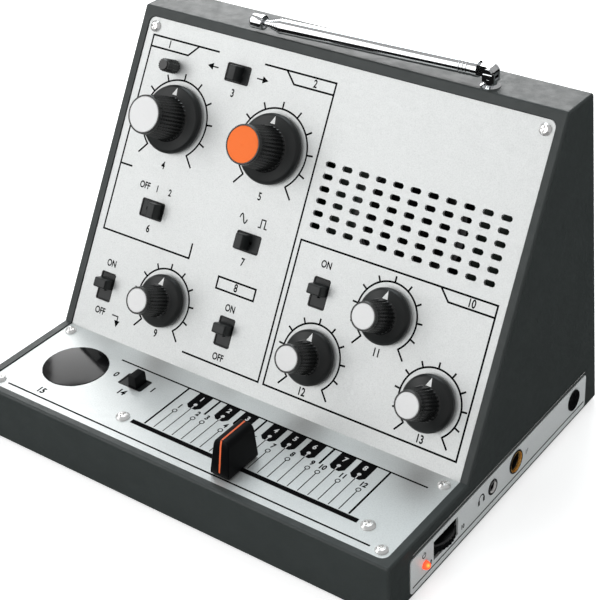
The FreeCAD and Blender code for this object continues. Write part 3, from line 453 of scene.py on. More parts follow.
# ---------------------------------------------------------------- mesh tools
class Shop:
    """What every sub-assembly needs: finishes, the CAD nodes and the ways to add pieces."""

    def __init__(self, frame: dict) -> None:
        """Keep the loaded frame.
        """
        self.nodes: dict[str, bpy.types.Object] = frame["nodes"]
        self.finishes = Finishes()

    def dress(self, finish: Finish, *names: str) -> None:
        """Give CAD nodes a finish.

        Args:
            finish: The finish.
            names: The nodes.
        """
        material = self.finishes.get(finish)
        for name in names:
            mesh = self.nodes[name].data
            mesh.materials.clear()
            mesh.materials.append(material)
            LOG.info("dressed %s in %s", name, finish.name)

    def add(self, name: str, mesh: bpy.types.Mesh, finish: Finish, body: str, slot: str,
            *replaced: str) -> None:
        """Add a piece that rides on a body.

        Args:
            name: The piece's name.
            mesh: Its mesh, in metres and in place.
            finish: Its finish.
            body: The body that it rides on.
            slot: The record's material slot; not used.
            replaced: CAD nodes that it stands for.
        """
        piece = bpy.data.objects.new(name, mesh)
        bpy.context.scene.collection.objects.link(piece)
        mesh.materials.append(self.finishes.get(finish))
        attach(piece, body)
        if replaced:
            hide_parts(*replaced)
        LOG.info("added %s on %s", name, body)


def to_mesh(name: str, work: bmesh.types.BMesh, place: Matrix | None = None,
            smooth: float | None = None) -> bpy.types.Mesh:
    """Turn a work mesh in millimetres into a placed mesh in metres.

    Args:
        name: The mesh's name.
        work: The work mesh, which is freed.
        place: Placement in metres.
        smooth: Angle in degrees up to which edges shade smoothly.

    Returns:
        The new mesh.
    """
    bmesh.ops.scale(work, vec=(MM, MM, MM), verts=work.verts)
    if place is not None:
        bmesh.ops.transform(work, matrix=place, verts=work.verts)
    mesh = bpy.data.meshes.new(name)
    if smooth is not None:
        limit = math.radians(smooth)
        for face in work.faces:
            face.smooth = True
        for edge in work.edges:
            edge.smooth = len(edge.link_faces) == 2 and edge.calc_face_angle(0.0) < limit
    work.to_mesh(mesh)
    work.free()
    return mesh


def turned(profile: Sequence[Point], around: int, ripple: Callable[[int, float], float] | None = None
           ) -> bmesh.types.BMesh:
    """Turn a profile about Z, with an optional change of radius round the axis.

    Args:
        profile: (radius, z) points from one end to the other.
        around: Number of steps round the axis.
        ripple: Takes the point's index and the angle, and returns a change of radius.

    Returns:
        A work mesh in millimetres.
    """
    work = bmesh.new()
    rings = []
    for index, (radius, height) in enumerate(profile):
        if radius < 1e-6:
            rings.append([work.verts.new((0, 0, height))])
            continue
        ring = []
        for step in range(around):
            angle = 2 * math.pi * step / around
            reach = radius + (ripple(index, angle) if ripple else 0.0)
            ring.append(work.verts.new((reach * math.cos(angle), reach * math.sin(angle), height)))
        rings.append(ring)
    for low, high in zip(rings, rings[1:]):
        for step in range(around):
            after = (step + 1) % around
            if len(low) == 1:
                work.faces.new((low[0], high[after], high[step]))
            elif len(high) == 1:
                work.faces.new((low[step], low[after], high[0]))
            else:
                work.faces.new((low[step], low[after], high[after], high[step]))
    bmesh.ops.recalc_face_normals(work, faces=work.faces)
    return work


def stacked(outlines: Sequence[Sequence[tuple[float, float, float]]], caps: bool = True
            ) -> bmesh.types.BMesh:
    """Join closed outlines with as many points each into a skin.

    Args:
        outlines: Outlines in order.
        caps: Whether the first and last outline are filled.

    Returns:
        A work mesh in millimetres.
    """
    work = bmesh.new()
    rings = [[work.verts.new(point) for point in outline] for outline in outlines]
    for low, high in zip(rings, rings[1:]):
        for step in range(len(low)):
            after = (step + 1) % len(low)
            work.faces.new((low[step], low[after], high[after], high[step]))
    if caps:
        work.faces.new(rings[0][::-1])
        work.faces.new(rings[-1])
    bmesh.ops.recalc_face_normals(work, faces=work.faces)
    return work


def rounded_rectangle(half_x: float, half_y: float, radius: float, height: float, steps: int = 5
                      ) -> list[tuple[float, float, float]]:
    """Return the points of a rounded rectangle.

    Args:
        half_x: Half its width.
        half_y: Half its length.
        radius: Corner radius.
        height: Its z.
        steps: Steps in each corner.

    Returns:
        Points, counterclockwise.
    """
    points = []
    for corner, (sx, sy) in enumerate(((1, 1), (-1, 1), (-1, -1), (1, -1))):
        for step in range(steps + 1):
            angle = math.pi / 2 * (corner + step / steps)
            points.append((sx * (half_x - radius) + radius * math.cos(angle),
                           sy * (half_y - radius) + radius * math.sin(angle), height))
    return points


# ---------------------------------------------------------------- print
@dataclass
class Ink:
    """Printed marks of one face, gathered into one thin mesh."""

    face: Face
    lift: float = 0.03
    width: float = 0.80
    sign: float = 0.55
    fine: float = 0.42
    bold: float = 0.026
    work: bmesh.types.BMesh = field(default_factory=bmesh.new)

    def polygon(self, points: Iterable[Point]) -> None:
        """Fill a convex outline.

        Args:
            points: Its corners.
        """
        verts = [self.work.verts.new((x, y, self.lift)) for x, y in points]
        self.work.faces.new(verts).normal_update()

    def stroke(self, points: Sequence[Point], width: float | None = None, closed: bool = False) -> None:
        """Draw a line with mitred corners.

        Args:
            points: The points it passes.
            width: Its width, or the face's usual one.
            closed: Whether it returns to its first point.
        """
        half = (width or self.width) / 2
        path = [Vector(point) for point in points]
        count = len(path)
        pairs = []
        for index, here in enumerate(path):
            before = path[index - 1] if closed or index else None
            after = path[(index + 1) % count] if closed or index < count - 1 else None
            ways = []
            if before is not None:
                ways.append((here - before).normalized())
            if after is not None:
                ways.append((after - here).normalized())
            way = sum(ways, Vector((0, 0))).normalized()
            normal = Vector((-way.y, way.x))
            reach = half / max(0.3, normal.dot(Vector((-ways[0].y, ways[0].x))))
            left, right = here + normal * reach, here - normal * reach
            pairs.append([self.work.verts.new((p.x, p.y, self.lift)) for p in (left, right)])
        last = count if closed else count - 1
        for index in range(last):
            (l0, r0), (l1, r1) = pairs[index], pairs[(index + 1) % count]
            self.work.faces.new((l0, r0, r1, l1))

    def arc(self, centre: Point, radius: float, start: float, end: float, width: float | None = None,
            steps: int = 72) -> None:
        """Draw an arc, with angles in degrees clockwise from straight up.

        Args:
            centre: The arc's centre.
            radius: Its radius.
            start: First angle.
            end: Last angle.
            width: Line width.
            steps: Number of short lines.
        """
        whole = abs(end - start) >= 359.9
        span = steps if whole else steps + 1
        points = []
        for index in range(span):
            angle = math.radians(start + (end - start) * index / steps)
            points.append((centre[0] + radius * math.sin(angle), centre[1] + radius * math.cos(angle)))
        self.stroke(points, width, whole)

    def disc(self, centre: Point, radius: float) -> None:
        """Fill a round spot."""
        self.polygon([(centre[0] + radius * math.cos(math.pi * k / 12),
                       centre[1] + radius * math.sin(math.pi * k / 12)) for k in range(24)])

    def arrow(self, points: Sequence[Point], head: float = 3.0) -> None:
        """Draw a line with a filled head at its last point.

        Args:
            points: The points it passes.
            head: Length and width of the head.
        """
        tip, before = Vector(points[-1]), Vector(points[-2])
        way = (tip - before).normalized()
        side = Vector((-way.y, way.x)) * head * 0.52
        root = tip - way * head
        self.polygon([tuple(tip), tuple(root + side), tuple(root - side)])
        self.stroke([*points[:-1], tuple(root)], self.sign)

    @staticmethod
    def letters(words: str, size: float, growth: float) -> bpy.types.Mesh:
        """Fill the outlines of a few letters or digits.

        Args:
            words: What is written.
            size: Size of the type.
            growth: How far the outlines are moved outwards.

        Returns:
            A flat mesh about the origin.
        """
        curve = bpy.data.curves.new("number", "FONT")
        curve.body = words
        curve.align_x, curve.align_y = "CENTER", "CENTER"
        curve.size, curve.offset = size, growth
        holder = bpy.data.objects.new("number", curve)
        bpy.context.scene.collection.objects.link(holder)
        bpy.context.view_layer.update()
        shape = bpy.data.meshes.new_from_object(holder.evaluated_get(bpy.context.evaluated_depsgraph_get()))
        bpy.data.objects.remove(holder)
        bpy.data.curves.remove(curve)
        return shape

    def text(self, words: str, centre: Point, height: float = 2.9, squeeze: float = 0.78,
             bold: float | None = None) -> None:
        """Print a number, or ON or OFF, as bold as its outlines can be filled.

        Args:
            words: What is printed.
            centre: Its centre.
            height: Height of a capital.
            squeeze: Width against the usual one.
            bold: Growth of the outline, or the usual one.
        """
        size = height / CAPITAL
        growth = (self.bold if bold is None else bold) * size
        shape = plain = self.letters(words, size, 0.0)
        least = sum(polygon.area for polygon in plain.polygons)
        for share in GROWTHS:
            grown = self.letters(words, size, growth * share)
            if sum(polygon.area for polygon in grown.polygons) > least:
                shape = grown
                break
        verts = [self.work.verts.new((centre[0] + v.co.x * squeeze, centre[1] + v.co.y, self.lift))
                 for v in shape.vertices]
        for polygon in shape.polygons:
            self.work.faces.new([verts[index] for index in polygon.vertices])

    def finish(self, shop: Shop, name: str, finish: Finish, slot: str) -> None:
        """Add the print to the console.

        Args:
            shop: Where pieces are added.
            name: The piece's name.
            finish: The ink.
            slot: The record's material slot.
        """
        for polygon in self.work.faces:
            polygon.normal_update()
            if polygon.normal.z < 0:
                polygon.normal_flip()
        shop.add(name, to_mesh(name, self.work, self.face.matrix()), finish, CONSOLE, slot)


# ---------------------------------------------------------------- the sub-assemblies
@dataclass
class Housing:
    """Case, base, feet, screws, battery door and what they hold."""

    def build(self, shop: Shop) -> None:
        """Dress the housing's nodes.

        Args:
            shop: Where finishes come from.
        """
        shop.dress(Finishes.HOUSING, "case_shell", "base_plate", "battery_door")
        shop.dress(Finishes.RUBBER, "rubber_feet")
        shop.dress(Finishes.STEEL, "base_screws", "pot_nuts", "knob_pots", "antenna_nut", "fader_lever")
        shop.dress(Finishes.CELL, "batteries")
        shop.dress(Finishes.BASKET, "speaker_basket")
        shop.dress(Finishes.PAPER, "speaker_cone")
        shop.dress(Finishes.BOARD, "main_circuit_board", "deck_circuit_board", "side_circuit_board")
        shop.dress(Finishes.CASE_METAL, "fader_body")
        shop.dress(Finishes.SOCKET, "slide_switches", "trigger_switch", "trimmer_pot", "volume_pot")


@dataclass(frozen=True)
class DialSize:
    """Radii, heights and lengths of one kind of dial, with its number of flutes."""

    skirt: float
    grip_low: float
    grip_top: float
    height: float
    flutes: int
    flute: float
    scale: float
    tick: float
    end_mark: float
    pointer: float


LARGE = DialSize(skirt=15.0, grip_low=9.8, grip_top=8.4, height=21.8, flutes=34, flute=0.62, scale=17.3,
                 tick=3.1, end_mark=6.0, pointer=13.9)
SMALL = DialSize(skirt=11.4, grip_low=6.9, grip_top=5.8, height=18.4, flutes=26, flute=0.52, scale=13.8,
                 tick=2.6, end_mark=5.1, pointer=10.4)


@dataclass
class Dial:
    """A skirted dial: turned skirt, fluted grip, cap and pointer."""

    name: str
    place: Point
    size: DialSize
    orange: bool = False
    steps: int = 8
    line: float = 0.78
    grip_row: int = 12
    lip: Point = (1.4, 3.64)        # from the skirt's edge, and height: where its cone starts
    flare: Point = (0.9, 4.55)      # from the grip's foot, and height: where it ends
    grip_foot: float = 4.9
    flutes_start: float = 5.8
    pointer_length: float = 3.35
    pointer_half: float = 1.25
    marks: int = 5                  # on each side of the middle one
    mark_step: float = 28.15        # degrees

    def placement(self) -> Matrix:
        """Return the dial's placement on the slope."""
        return Face.SLOPE.matrix() @ Matrix.Translation(Vector((*self.place, 0)) * MM)

    def profile(self) -> list[tuple[float, float, float]]:
        """Return the outline.

        Returns:
            Points of (radius, z, share of the flute depth), from the underside to the cap's edge.
        """
        s = self.size
        low, top = s.grip_low, s.grip_top
        tall = s.height
        points = [
            (s.skirt - 1.5, 1.4, 0), (s.skirt - 1.4, 0.75, 0), (s.skirt - 0.25, 0.70, 0),
            (s.skirt - 0.05, 0.85, 0), (s.skirt, 1.1, 0), (s.skirt, 2.35, 0), (s.skirt - 0.06, 2.6, 0),
            (s.skirt - 0.25, 2.85, 0), (s.skirt - 0.75, 3.35, 0), (s.skirt - 1.0, 3.52, 0),
            (s.skirt - self.lip[0], self.lip[1], 0), (low + self.flare[0], self.flare[1], 0),
            (low + 0.35, 4.75, 0),
        ]
        taper = (top + 0.12 - low) / (tall - 1.6 - self.grip_foot)
        for z, share in ((4.95, 0.25), (5.3, 0.8), (self.flutes_start, 1.0)):
            points.append((low + taper * (z - self.grip_foot), z, share))
        for step in range(1, 5):
            z = self.flutes_start + (tall - 2.4 - self.flutes_start) * step / 4
            points.append((low + taper * (z - self.grip_foot), z, 1.0))
        points += [(top + 0.14, tall - 2.0, 0.7), (top + 0.1, tall - 1.75, 0.15), (top, tall - 1.55, 0),
                   (top, tall - 0.45, 0), (top - 0.07, tall - 0.18, 0), (top - 0.24, tall - 0.02, 0),
                   (top - 0.72, tall, 0), (top - 0.76, tall - 0.12, 0), (top - 0.77, tall - 1.1, 0)]
        return points

    def build(self, shop: Shop) -> None:
        """Build the dial and dress its cap.

        Args:
            shop: Where pieces are added.
        """
        points = self.profile()
        s = self.size

        def ripple(index: int, angle: float) -> float:
            """Return the flutes' depth at an angle."""
            wave = (1 - abs(math.sin(s.flutes * angle / 2))) ** 1.2
            return -s.flute * points[index][2] * (1 - wave)

        around = s.flutes * self.steps
        work = turned([(r, z) for r, z, _ in points], around, ripple)
        mesh = to_mesh(self.name + "_dial", work, self.placement(), 30)
        shop.add(self.name + "_dial", mesh, Finishes.KNOB, self.name + "_dial", "knob", self.name + "_knob")
        mesh.materials.append(shop.finishes.get(Finishes.GRIP))
        for polygon in mesh.polygons:
            polygon.material_index = int(polygon.index // around >= self.grip_row)
        shop.dress(Finishes.CAP_ORANGE if self.orange else Finishes.CAP_WHITE, self.name + "_cap")
        self.add_pointer(shop)

    def add_pointer(self, shop: Shop) -> None:
        """Lay a triangle on the skirt, tip outwards.

        Args:
            shop: Where pieces are added.
        """
        s = self.size
        work = bmesh.new()
        tip, base = s.pointer, s.pointer - self.pointer_length
        r0, z0, r1, z1 = s.skirt - self.lip[0], self.lip[1], s.grip_low + self.flare[0], self.flare[1]
        rows = 5
        edges = []
        for row in range(rows + 1):
            y = tip - (tip - base) * row / rows
            spread = self.pointer_half * row / rows
            pair = []
            for x in (-spread, spread):
                reach = math.hypot(x, y)
                z = z0 + (r0 - reach) / (r0 - r1) * (z1 - z0) + 0.05
                pair.append(work.verts.new((x, y, z)))
            edges.append(pair)
        for (a, b), (c, d) in zip(edges, edges[1:]):
            work.faces.new((a, c, d, b))
        bmesh.ops.remove_doubles(work, verts=work.verts, dist=0.001)
        bmesh.ops.recalc_face_normals(work, faces=work.faces)
        for face in work.faces:
            if face.normal.z < 0:
                face.normal_flip()
        mesh = to_mesh(self.name + "_pointer", work, self.placement())
        shop.add(self.name + "_pointer", mesh, Finishes.POINTER, self.name + "_dial", "cap_light")

    def print_scale(self, ink: Ink) -> None:
        """Print the ring of marks round the dial.

        Args:
            ink: The slope's print.
        """
        radius, reach = self.size.scale, self.marks * self.mark_step
        ink.arc(self.place, radius, -reach, reach, self.line)
        here = Vector(self.place)
        for index in range(-self.marks, self.marks + 1):
            angle = math.radians(index * self.mark_step)
            way = Vector((math.sin(angle), math.cos(angle)))
            last = abs(index) == self.marks
            far = radius + (self.size.end_mark if last else self.size.tick)
            near = radius - (0.25 if last else 0.0)
            ink.stroke([tuple(here + way * near), tuple(here + way * far)], self.line)


@dataclass
class Dials:
    """The six dials and the trimmer."""

    pitch_row: float = SLOPE_LENGTH - 41.2
    low_row: float = 24.1
    dials: list[Dial] = field(init=False)

    def __post_init__(self) -> None:
        """List the dials."""
        self.dials = [
            Dial("antenna_pitch", (-73.4, self.pitch_row), LARGE),
            Dial("slide_pitch", (-20.6, self.pitch_row), LARGE, orange=True),
            Dial("decay", (-54.9, self.low_row), SMALL),
            Dial("level", (23.1, self.low_row), SMALL),
            Dial("time", (51.4, SLOPE_LENGTH - 91.1), SMALL),
            Dial("feedback", (79.3, self.low_row), SMALL),
        ]

    def build(self, shop: Shop) -> None:
        """Build every dial.

        Args:
            shop: Where pieces are added.
        """
        for dial in self.dials:
            dial.build(shop)
        shop.dress(Finishes.GRIP, "trimmer_knob")


@dataclass
class Legend:
    """What is printed on the slope: frames, scales, arrows, signs and numbers."""

    dials: Dials
    top: float = 133.5
    foot: float = 6.7
    left: float = -96.0
    middle: float = 1.8             # right edge of the frames on the left
    right: float = 96.4
    shelf: float = 45.2             # lower edge of the first frame
    group_left: float = 4.5         # the closed frame on the right
    group_top: float = 68.3
    tab: float = 5.0                # height of a frame's tab
    number: float = 3.3             # height of a control's number

    def build(self, shop: Shop) -> None:
        """Dress the panel and its screws, and print the slope.

        Args:
            shop: Where pieces are added.
        """
        shop.dress(Finishes.PANEL, "front_panel")
        shop.dress(Finishes.BRIGHT, "panel_screws", "fader_screws")
        slope = Ink(Face.SLOPE)
        self.frames(slope)
        self.arrows(slope)
        self.numbers(slope)
        self.waves(slope)
        for dial in self.dials.dials:
            dial.print_scale(slope)
        slope.finish(shop, "slope_print", Finishes.INK, "panel")

    def frames(self, ink: Ink) -> None:
        """Draw the frames round the groups of controls.

        Args:
            ink: The slope's print.
        """
        top, foot, left, middle, right = self.top, self.foot, self.left, self.middle, self.right
        shelf, tab = self.shelf, self.top - self.tab
        ink.stroke([(-59.1, top), (left, top), (left - 0.2, shelf), (-47.5, shelf), (-47.5, 51.8)])
        ink.stroke([(left, 75.2), (-89.4, 75.2)])
        ink.stroke([(-70.2, top), (-75.0, tab), (left, tab)])
        ink.stroke([(-34.8, top), (middle, top), (middle, foot), (-38.7, foot)])
        ink.stroke([(-23.1, top), (-18.2, tab), (middle, tab)])
        near, high = self.group_left, self.group_top
        tab = high - self.tab + 0.2
        ink.stroke([(near, high), (right, high), (right, foot), (near, foot)], closed=True)
        ink.stroke([(71.3, high), (75.8, tab), (right, tab)])
        ink.stroke([(-30.2, 42.4), (-10.5, 42.4), (-10.5, 37.4), (-30.2, 37.4)], closed=True)

    def arrows(self, ink: Ink) -> None:
        """Draw the arrows beside the first switch and below the lowest.

        Args:
            ink: The slope's print.
        """
        ink.arrow([(-57.6, 126.9), (-63.4, 126.9)])
        ink.arrow([(-36.9, 126.9), (-30.9, 126.9)])
        ink.arrow([(-79.6, 10.3), (-76.2, 10.3), (-76.2, 5.6)], 2.9)

    def numbers(self, ink: Ink) -> None:
        """Print the controls' numbers, and what the switches' ends mean.

        Args:
            ink: The slope's print.
        """
        controls = {
            "1": (-86.0, 130.9), "2": (-8.0, 130.9), "3": (-47.2, 117.9), "4": (-73.1, 79.6),
            "5": (-20.5, 79.6), "6": (-72.5, 51.2), "7": (-20.5, 51.2), "8": (-20.4, 39.9),
            "9": (-54.6, 9.6), "10": (85.6, 65.8), "11": (51.3, 35.2), "12": (22.9, 9.6),
            "13": (79.2, 9.6),
        }
        for number, place in controls.items():
            ink.text(number, place, self.number)
        ends = (("OFF", (-79.9, 69.0)), ("1", (-72.9, 69.0)), ("2", (-65.8, 69.0)), ("ON", (-20.5, 31.0)),
                ("ON", (19.2, 61.7)), ("ON", (-86.8, 31.4)), ("OFF", (-20.4, 10.0)), ("OFF", (-86.6, 10.0)))
        for words, place in ends:
            ink.text(words, place)

    def waves(self, ink: Ink) -> None:
        """Draw the round wave and the square wave.

        Args:
            ink: The slope's print.
        """
        x, y, half, swing, steps = -25.5, 69.0, 2.0, 1.9, 12
        wave = [(x + half * (k / steps - 1), y + swing * math.sin(math.pi * k / steps))
                for k in range(2 * steps + 1)]
        ink.stroke(wave, ink.sign)
        low, high = 67.4, 70.9
        ink.stroke([(-17.6, low), (-16.3, low), (-16.3, high), (-14.3, high), (-14.3, low), (-13.0, low)],
                   ink.sign)


@dataclass
class NoteScale:
    """What is printed on the deck: the note scale beside the fader, lines and numbers."""

    head: float = -9.3              # line along the keys' upper ends
    tail: float = -37.7             # lower ends of the note lines
    first: float = -19.9            # x of the first note
    pitch: float = 4.753            # from note to note
    notes: int = 20
    sharps: frozenset[int] = frozenset((1, 4, 6, 9, 11, 13, 16, 18))
    gaps: tuple[float, ...] = (2.5, 7.5, 14.5)      # in notes: where two white keys meet
    sides: Point = (-24.6, 75.1)    # x of the scale's two ends
    slot: Point = (-30.2, 80.2)     # x of the fader slot's ends
    slot_y: float = -39.4
    key_half: float = 3.5
    key_foot: float = -19.8
    ring_y: float = -24.6
    letter: float = 2.6

    def build(self, shop: Shop) -> None:
        """Print the deck.

        Args:
            shop: Where pieces are added.
        """
        ink, pale = Ink(Face.DECK), Ink(Face.DECK, lift=0.06)
        self.lines(ink)
        naturals = blacks = 0
        for note in range(self.notes):
            x = self.first + self.pitch * note
            if note in self.sharps:
                blacks += 1
                self.black_key(ink, pale, x, blacks)
            else:
                naturals += 1
                self.white_key(ink, x, naturals)
        for note in self.gaps:
            x = self.first + self.pitch * note
            ink.stroke([(x, self.head), (x, -20.1)], 0.95)
        numbers = (("0", (-57.0, -18.7), 3.0), ("1", (-36.6, -18.9), 3.0), ("14", (-46.7, -27.0), 3.2),
                   ("15", (-75.8, -44.3), 3.2))
        for number, place, height in numbers:
            ink.text(number, place, height, 0.9, 0.04)
        ink.finish(shop, "deck_print", Finishes.INK, "panel")
        pale.finish(shop, "note_print", Finishes.PALE_INK, "panel")

    def lines(self, ink: Ink) -> None:
        """Draw the deck's long lines and the fader's slot.

        Args:
            ink: The deck's black print.
        """
        ink.stroke([(-62.1, self.head), (91.7, self.head)])
        ink.stroke([(-91.3, -48.1), (91.3, -48.1)])
        for x in self.sides:
            ink.stroke([(x, self.head), (x, -37.9)], 0.9)
        ink.stroke([(x, self.slot_y) for x in self.slot], 2.3)

    def black_key(self, ink: Ink, pale: Ink, x: float, number: int) -> None:
        """Draw a black key with its spot, number and line.

        Args:
            ink: The deck's black print.
            pale: The pale print on the black keys.
            x: The key's middle.
            number: What is printed on it.
        """
        half, foot = self.key_half, self.key_foot
        bevel = 1.7
        ink.polygon([(x - half, self.head), (x - half, foot + bevel), (x - half + bevel, foot),
                     (x + half - bevel, foot), (x + half, foot + bevel), (x + half, self.head)])
        ink.stroke([(x, foot + 0.2), (x, self.tail)], ink.fine)
        pale.disc((x, -17.0), 0.85)
        pale.stroke([(x, -17.6), (x, foot)], ink.fine)
        pale.text(str(number), (x, -12.8), self.letter, 0.9, 0.035)

    def white_key(self, ink: Ink, x: float, number: int) -> None:
        """Draw a white key's ring, number and line.

        Args:
            ink: The deck's black print.
            x: The key's middle.
            number: What is printed above the ring.
        """
        ink.arc((x, self.ring_y), 0.95, 0, 360, ink.fine, 24)
        ink.stroke([(x, self.ring_y - 1.0), (x, self.tail)], ink.fine)
        ink.text(str(number), (x, -21.2), self.letter, 0.85, 0.045)


@dataclass
class SlideSwitch:
    """A cover in the window, slotted for the stem, and the nub that slides above it."""

    name: str
    face: Face
    place: Point
    upright: bool
    rest: float
    low: float
    high: float
    cover: Point = (5.72, 3.42)     # half its length and half its width
    cover_top: float = -0.30
    cover_thick: float = 0.6
    stem: float = 0.55              # half its width along the travel
    nub_top: float = 5.2

    def placement(self) -> Matrix:
        """Return the switch's placement, with its travel along x."""
        turn = Matrix.Rotation(math.radians(90 if self.upright else 0), 4, "Z")
        return self.face.matrix() @ Matrix.Translation(Vector((*self.place, 0)) * MM) @ turn

    def build(self, shop: Shop) -> None:
        """Build the cover and the nub.

        Args:
            shop: Where pieces are added.
        """
        top, under = self.cover_top, self.cover_top - self.cover_thick
        half_slot = (self.high - self.low) / 2 + self.stem + 0.1
        middle = self.rest + (self.high + self.low) / 2
        wide, tall = self.cover
        outer = [rounded_rectangle(wide, tall, 0.5, under), rounded_rectangle(wide, tall, 0.5, top - 0.08),
                 rounded_rectangle(wide - 0.08, tall - 0.08, 0.5, top)]
        inner = [[(x + middle, y, z) for x, y, z in rounded_rectangle(half_slot, 0.7, 0.3, level)]
                 for level in (top, under)]
        skin = stacked([*outer, *inner, outer[0]], caps=False)
        bmesh.ops.remove_doubles(skin, verts=skin.verts, dist=0.0005)
        bmesh.ops.recalc_face_normals(skin, faces=skin.faces)
        mesh = to_mesh(self.name + "_cover", skin, self.placement(), 25)
        shop.add(self.name + "_cover", mesh, Finishes.NUB, CONSOLE, "dark")
        foot, high = top + 0.05, self.nub_top
        shapes = ((self.stem, 0.5, 0.2, under - 0.5), (self.stem, 0.5, 0.2, foot), (2.25, 3.25, 0.4, foot),
                  (2.38, 3.38, 0.45, foot + 0.2), (2.1, 3.28, 0.45, high - 0.65),
                  (2.0, 3.2, 0.45, high - 0.3), (1.8, 3.02, 0.42, high - 0.08), (1.5, 2.75, 0.4, high))
        outlines = [[(x + self.rest, y, z) for x, y, z in rounded_rectangle(*shape)] for shape in shapes]
        mesh = to_mesh(self.name + "_nub", stacked(outlines), self.placement(), 34)
        finish = Finishes.FADER if self.face is Face.DECK else Finishes.NUB
        shop.add(self.name + "_nub", mesh, finish, self.name + "_switch", "knob", self.name + "_slider")


@dataclass
class SlideSwitches:
    """The seven slide switches."""

    step: float = 2.8
    low_row: float = 21.0
    middle_row: float = 59.8

    def build(self, shop: Shop) -> None:
        """Build every switch.

        Args:
            shop: Where pieces are added.
        """
        half, step = self.step / 2, self.step
        switches = (
            SlideSwitch("mix", Face.SLOPE, (-47.0, SLOPE_LENGTH - 14.8), False, 0.0, -step, step),
            SlideSwitch("modulation", Face.SLOPE, (-72.9, self.middle_row), False, step, -2 * step, 0.0),
            SlideSwitch("waveform", Face.SLOPE, (-20.6, self.middle_row), False, -half, 0.0, step),
            SlideSwitch("drone", Face.SLOPE, (-86.85, self.low_row), True, half, -step, 0.0),
            SlideSwitch("vibrato", Face.SLOPE, (-20.4, self.low_row), True, half, -step, 0.0),
            SlideSwitch("delay", Face.SLOPE, (19.2, 49.9), True, half, -step, 0.0),
            SlideSwitch("octave", Face.DECK, (-46.5, -18.7), False, half, -step, 0.0),
        )
        for switch in switches:
            switch.build(shop)


@dataclass
class NoteFader:
    """The tall fader cap with its orange line.

    A section holds half its width, its near and far ends and its height.
    """

    x: float = 22.3
    y: float = -39.4
    sections: tuple[tuple[float, float, float, float], ...] = (
        (4.55, -8.7, 9.8, 0.9), (4.65, -8.8, 9.95, 1.5), (4.55, -8.7, 9.9, 2.4), (3.72, -7.0, 9.4, 13.2),
        (3.55, -6.75, 9.25, 14.2), (3.2, -6.5, 9.05, 15.1), (2.6, -6.3, 8.85, 15.8), (1.6, -6.1, 8.6, 16.12),
        (0.7, -6.0, 8.5, 16.2))
    line: float = 0.75
    line_near: float = -5.6
    line_far: float = 8.3

    def build(self, shop: Shop) -> None:
        """Build the cap and its line.

        Args:
            shop: Where pieces are added.
        """
        place = Face.DECK.matrix() @ Matrix.Translation(Vector((self.x, self.y, 0)) * MM)
        outlines = []
        for half, near, far, z in self.sections:
            outline = rounded_rectangle(half, (far - near) / 2, min(0.55, half * 0.9), z)
            outlines.append([(x, y + (far + near) / 2, z) for x, y, z in outline])
        mesh = to_mesh("fader_grip", stacked(outlines), place, 32)
        shop.add("fader_grip", mesh, Finishes.FADER, "fader", "knob", "fader_cap")
        self.add_line(shop, place)

    def add_line(self, shop: Shop, place: Matrix) -> None:
        """Lay the orange line down the front and along the ridge.

        Args:
            shop: Where pieces are added.
            place: The cap's placement.
        """
        half, proud = self.line / 2, 0.04
        front = [(near - proud, z) for _, near, _, z in self.sections[2:8]]
        ridge_z = self.sections[-1][3] + proud
        path = front + [(self.line_near, ridge_z), (self.line_far, ridge_z)]
        work = bmesh.new()
        pairs = [[work.verts.new((x, y, z)) for x in (-half, half)] for y, z in path]
        for (a, b), (c, d) in zip(pairs, pairs[1:]):
            work.faces.new((a, b, d, c))
        mesh = to_mesh("fader_line", work, place)
        shop.add("fader_line", mesh, Finishes.LINE, "fader", "cap_orange")


@dataclass(frozen=True)
class SocketSize:
    """Radii of a socket's collar, mouth and barrel, and the barrel's length."""

    collar: float
    mouth: float
    barrel: float
    length: float


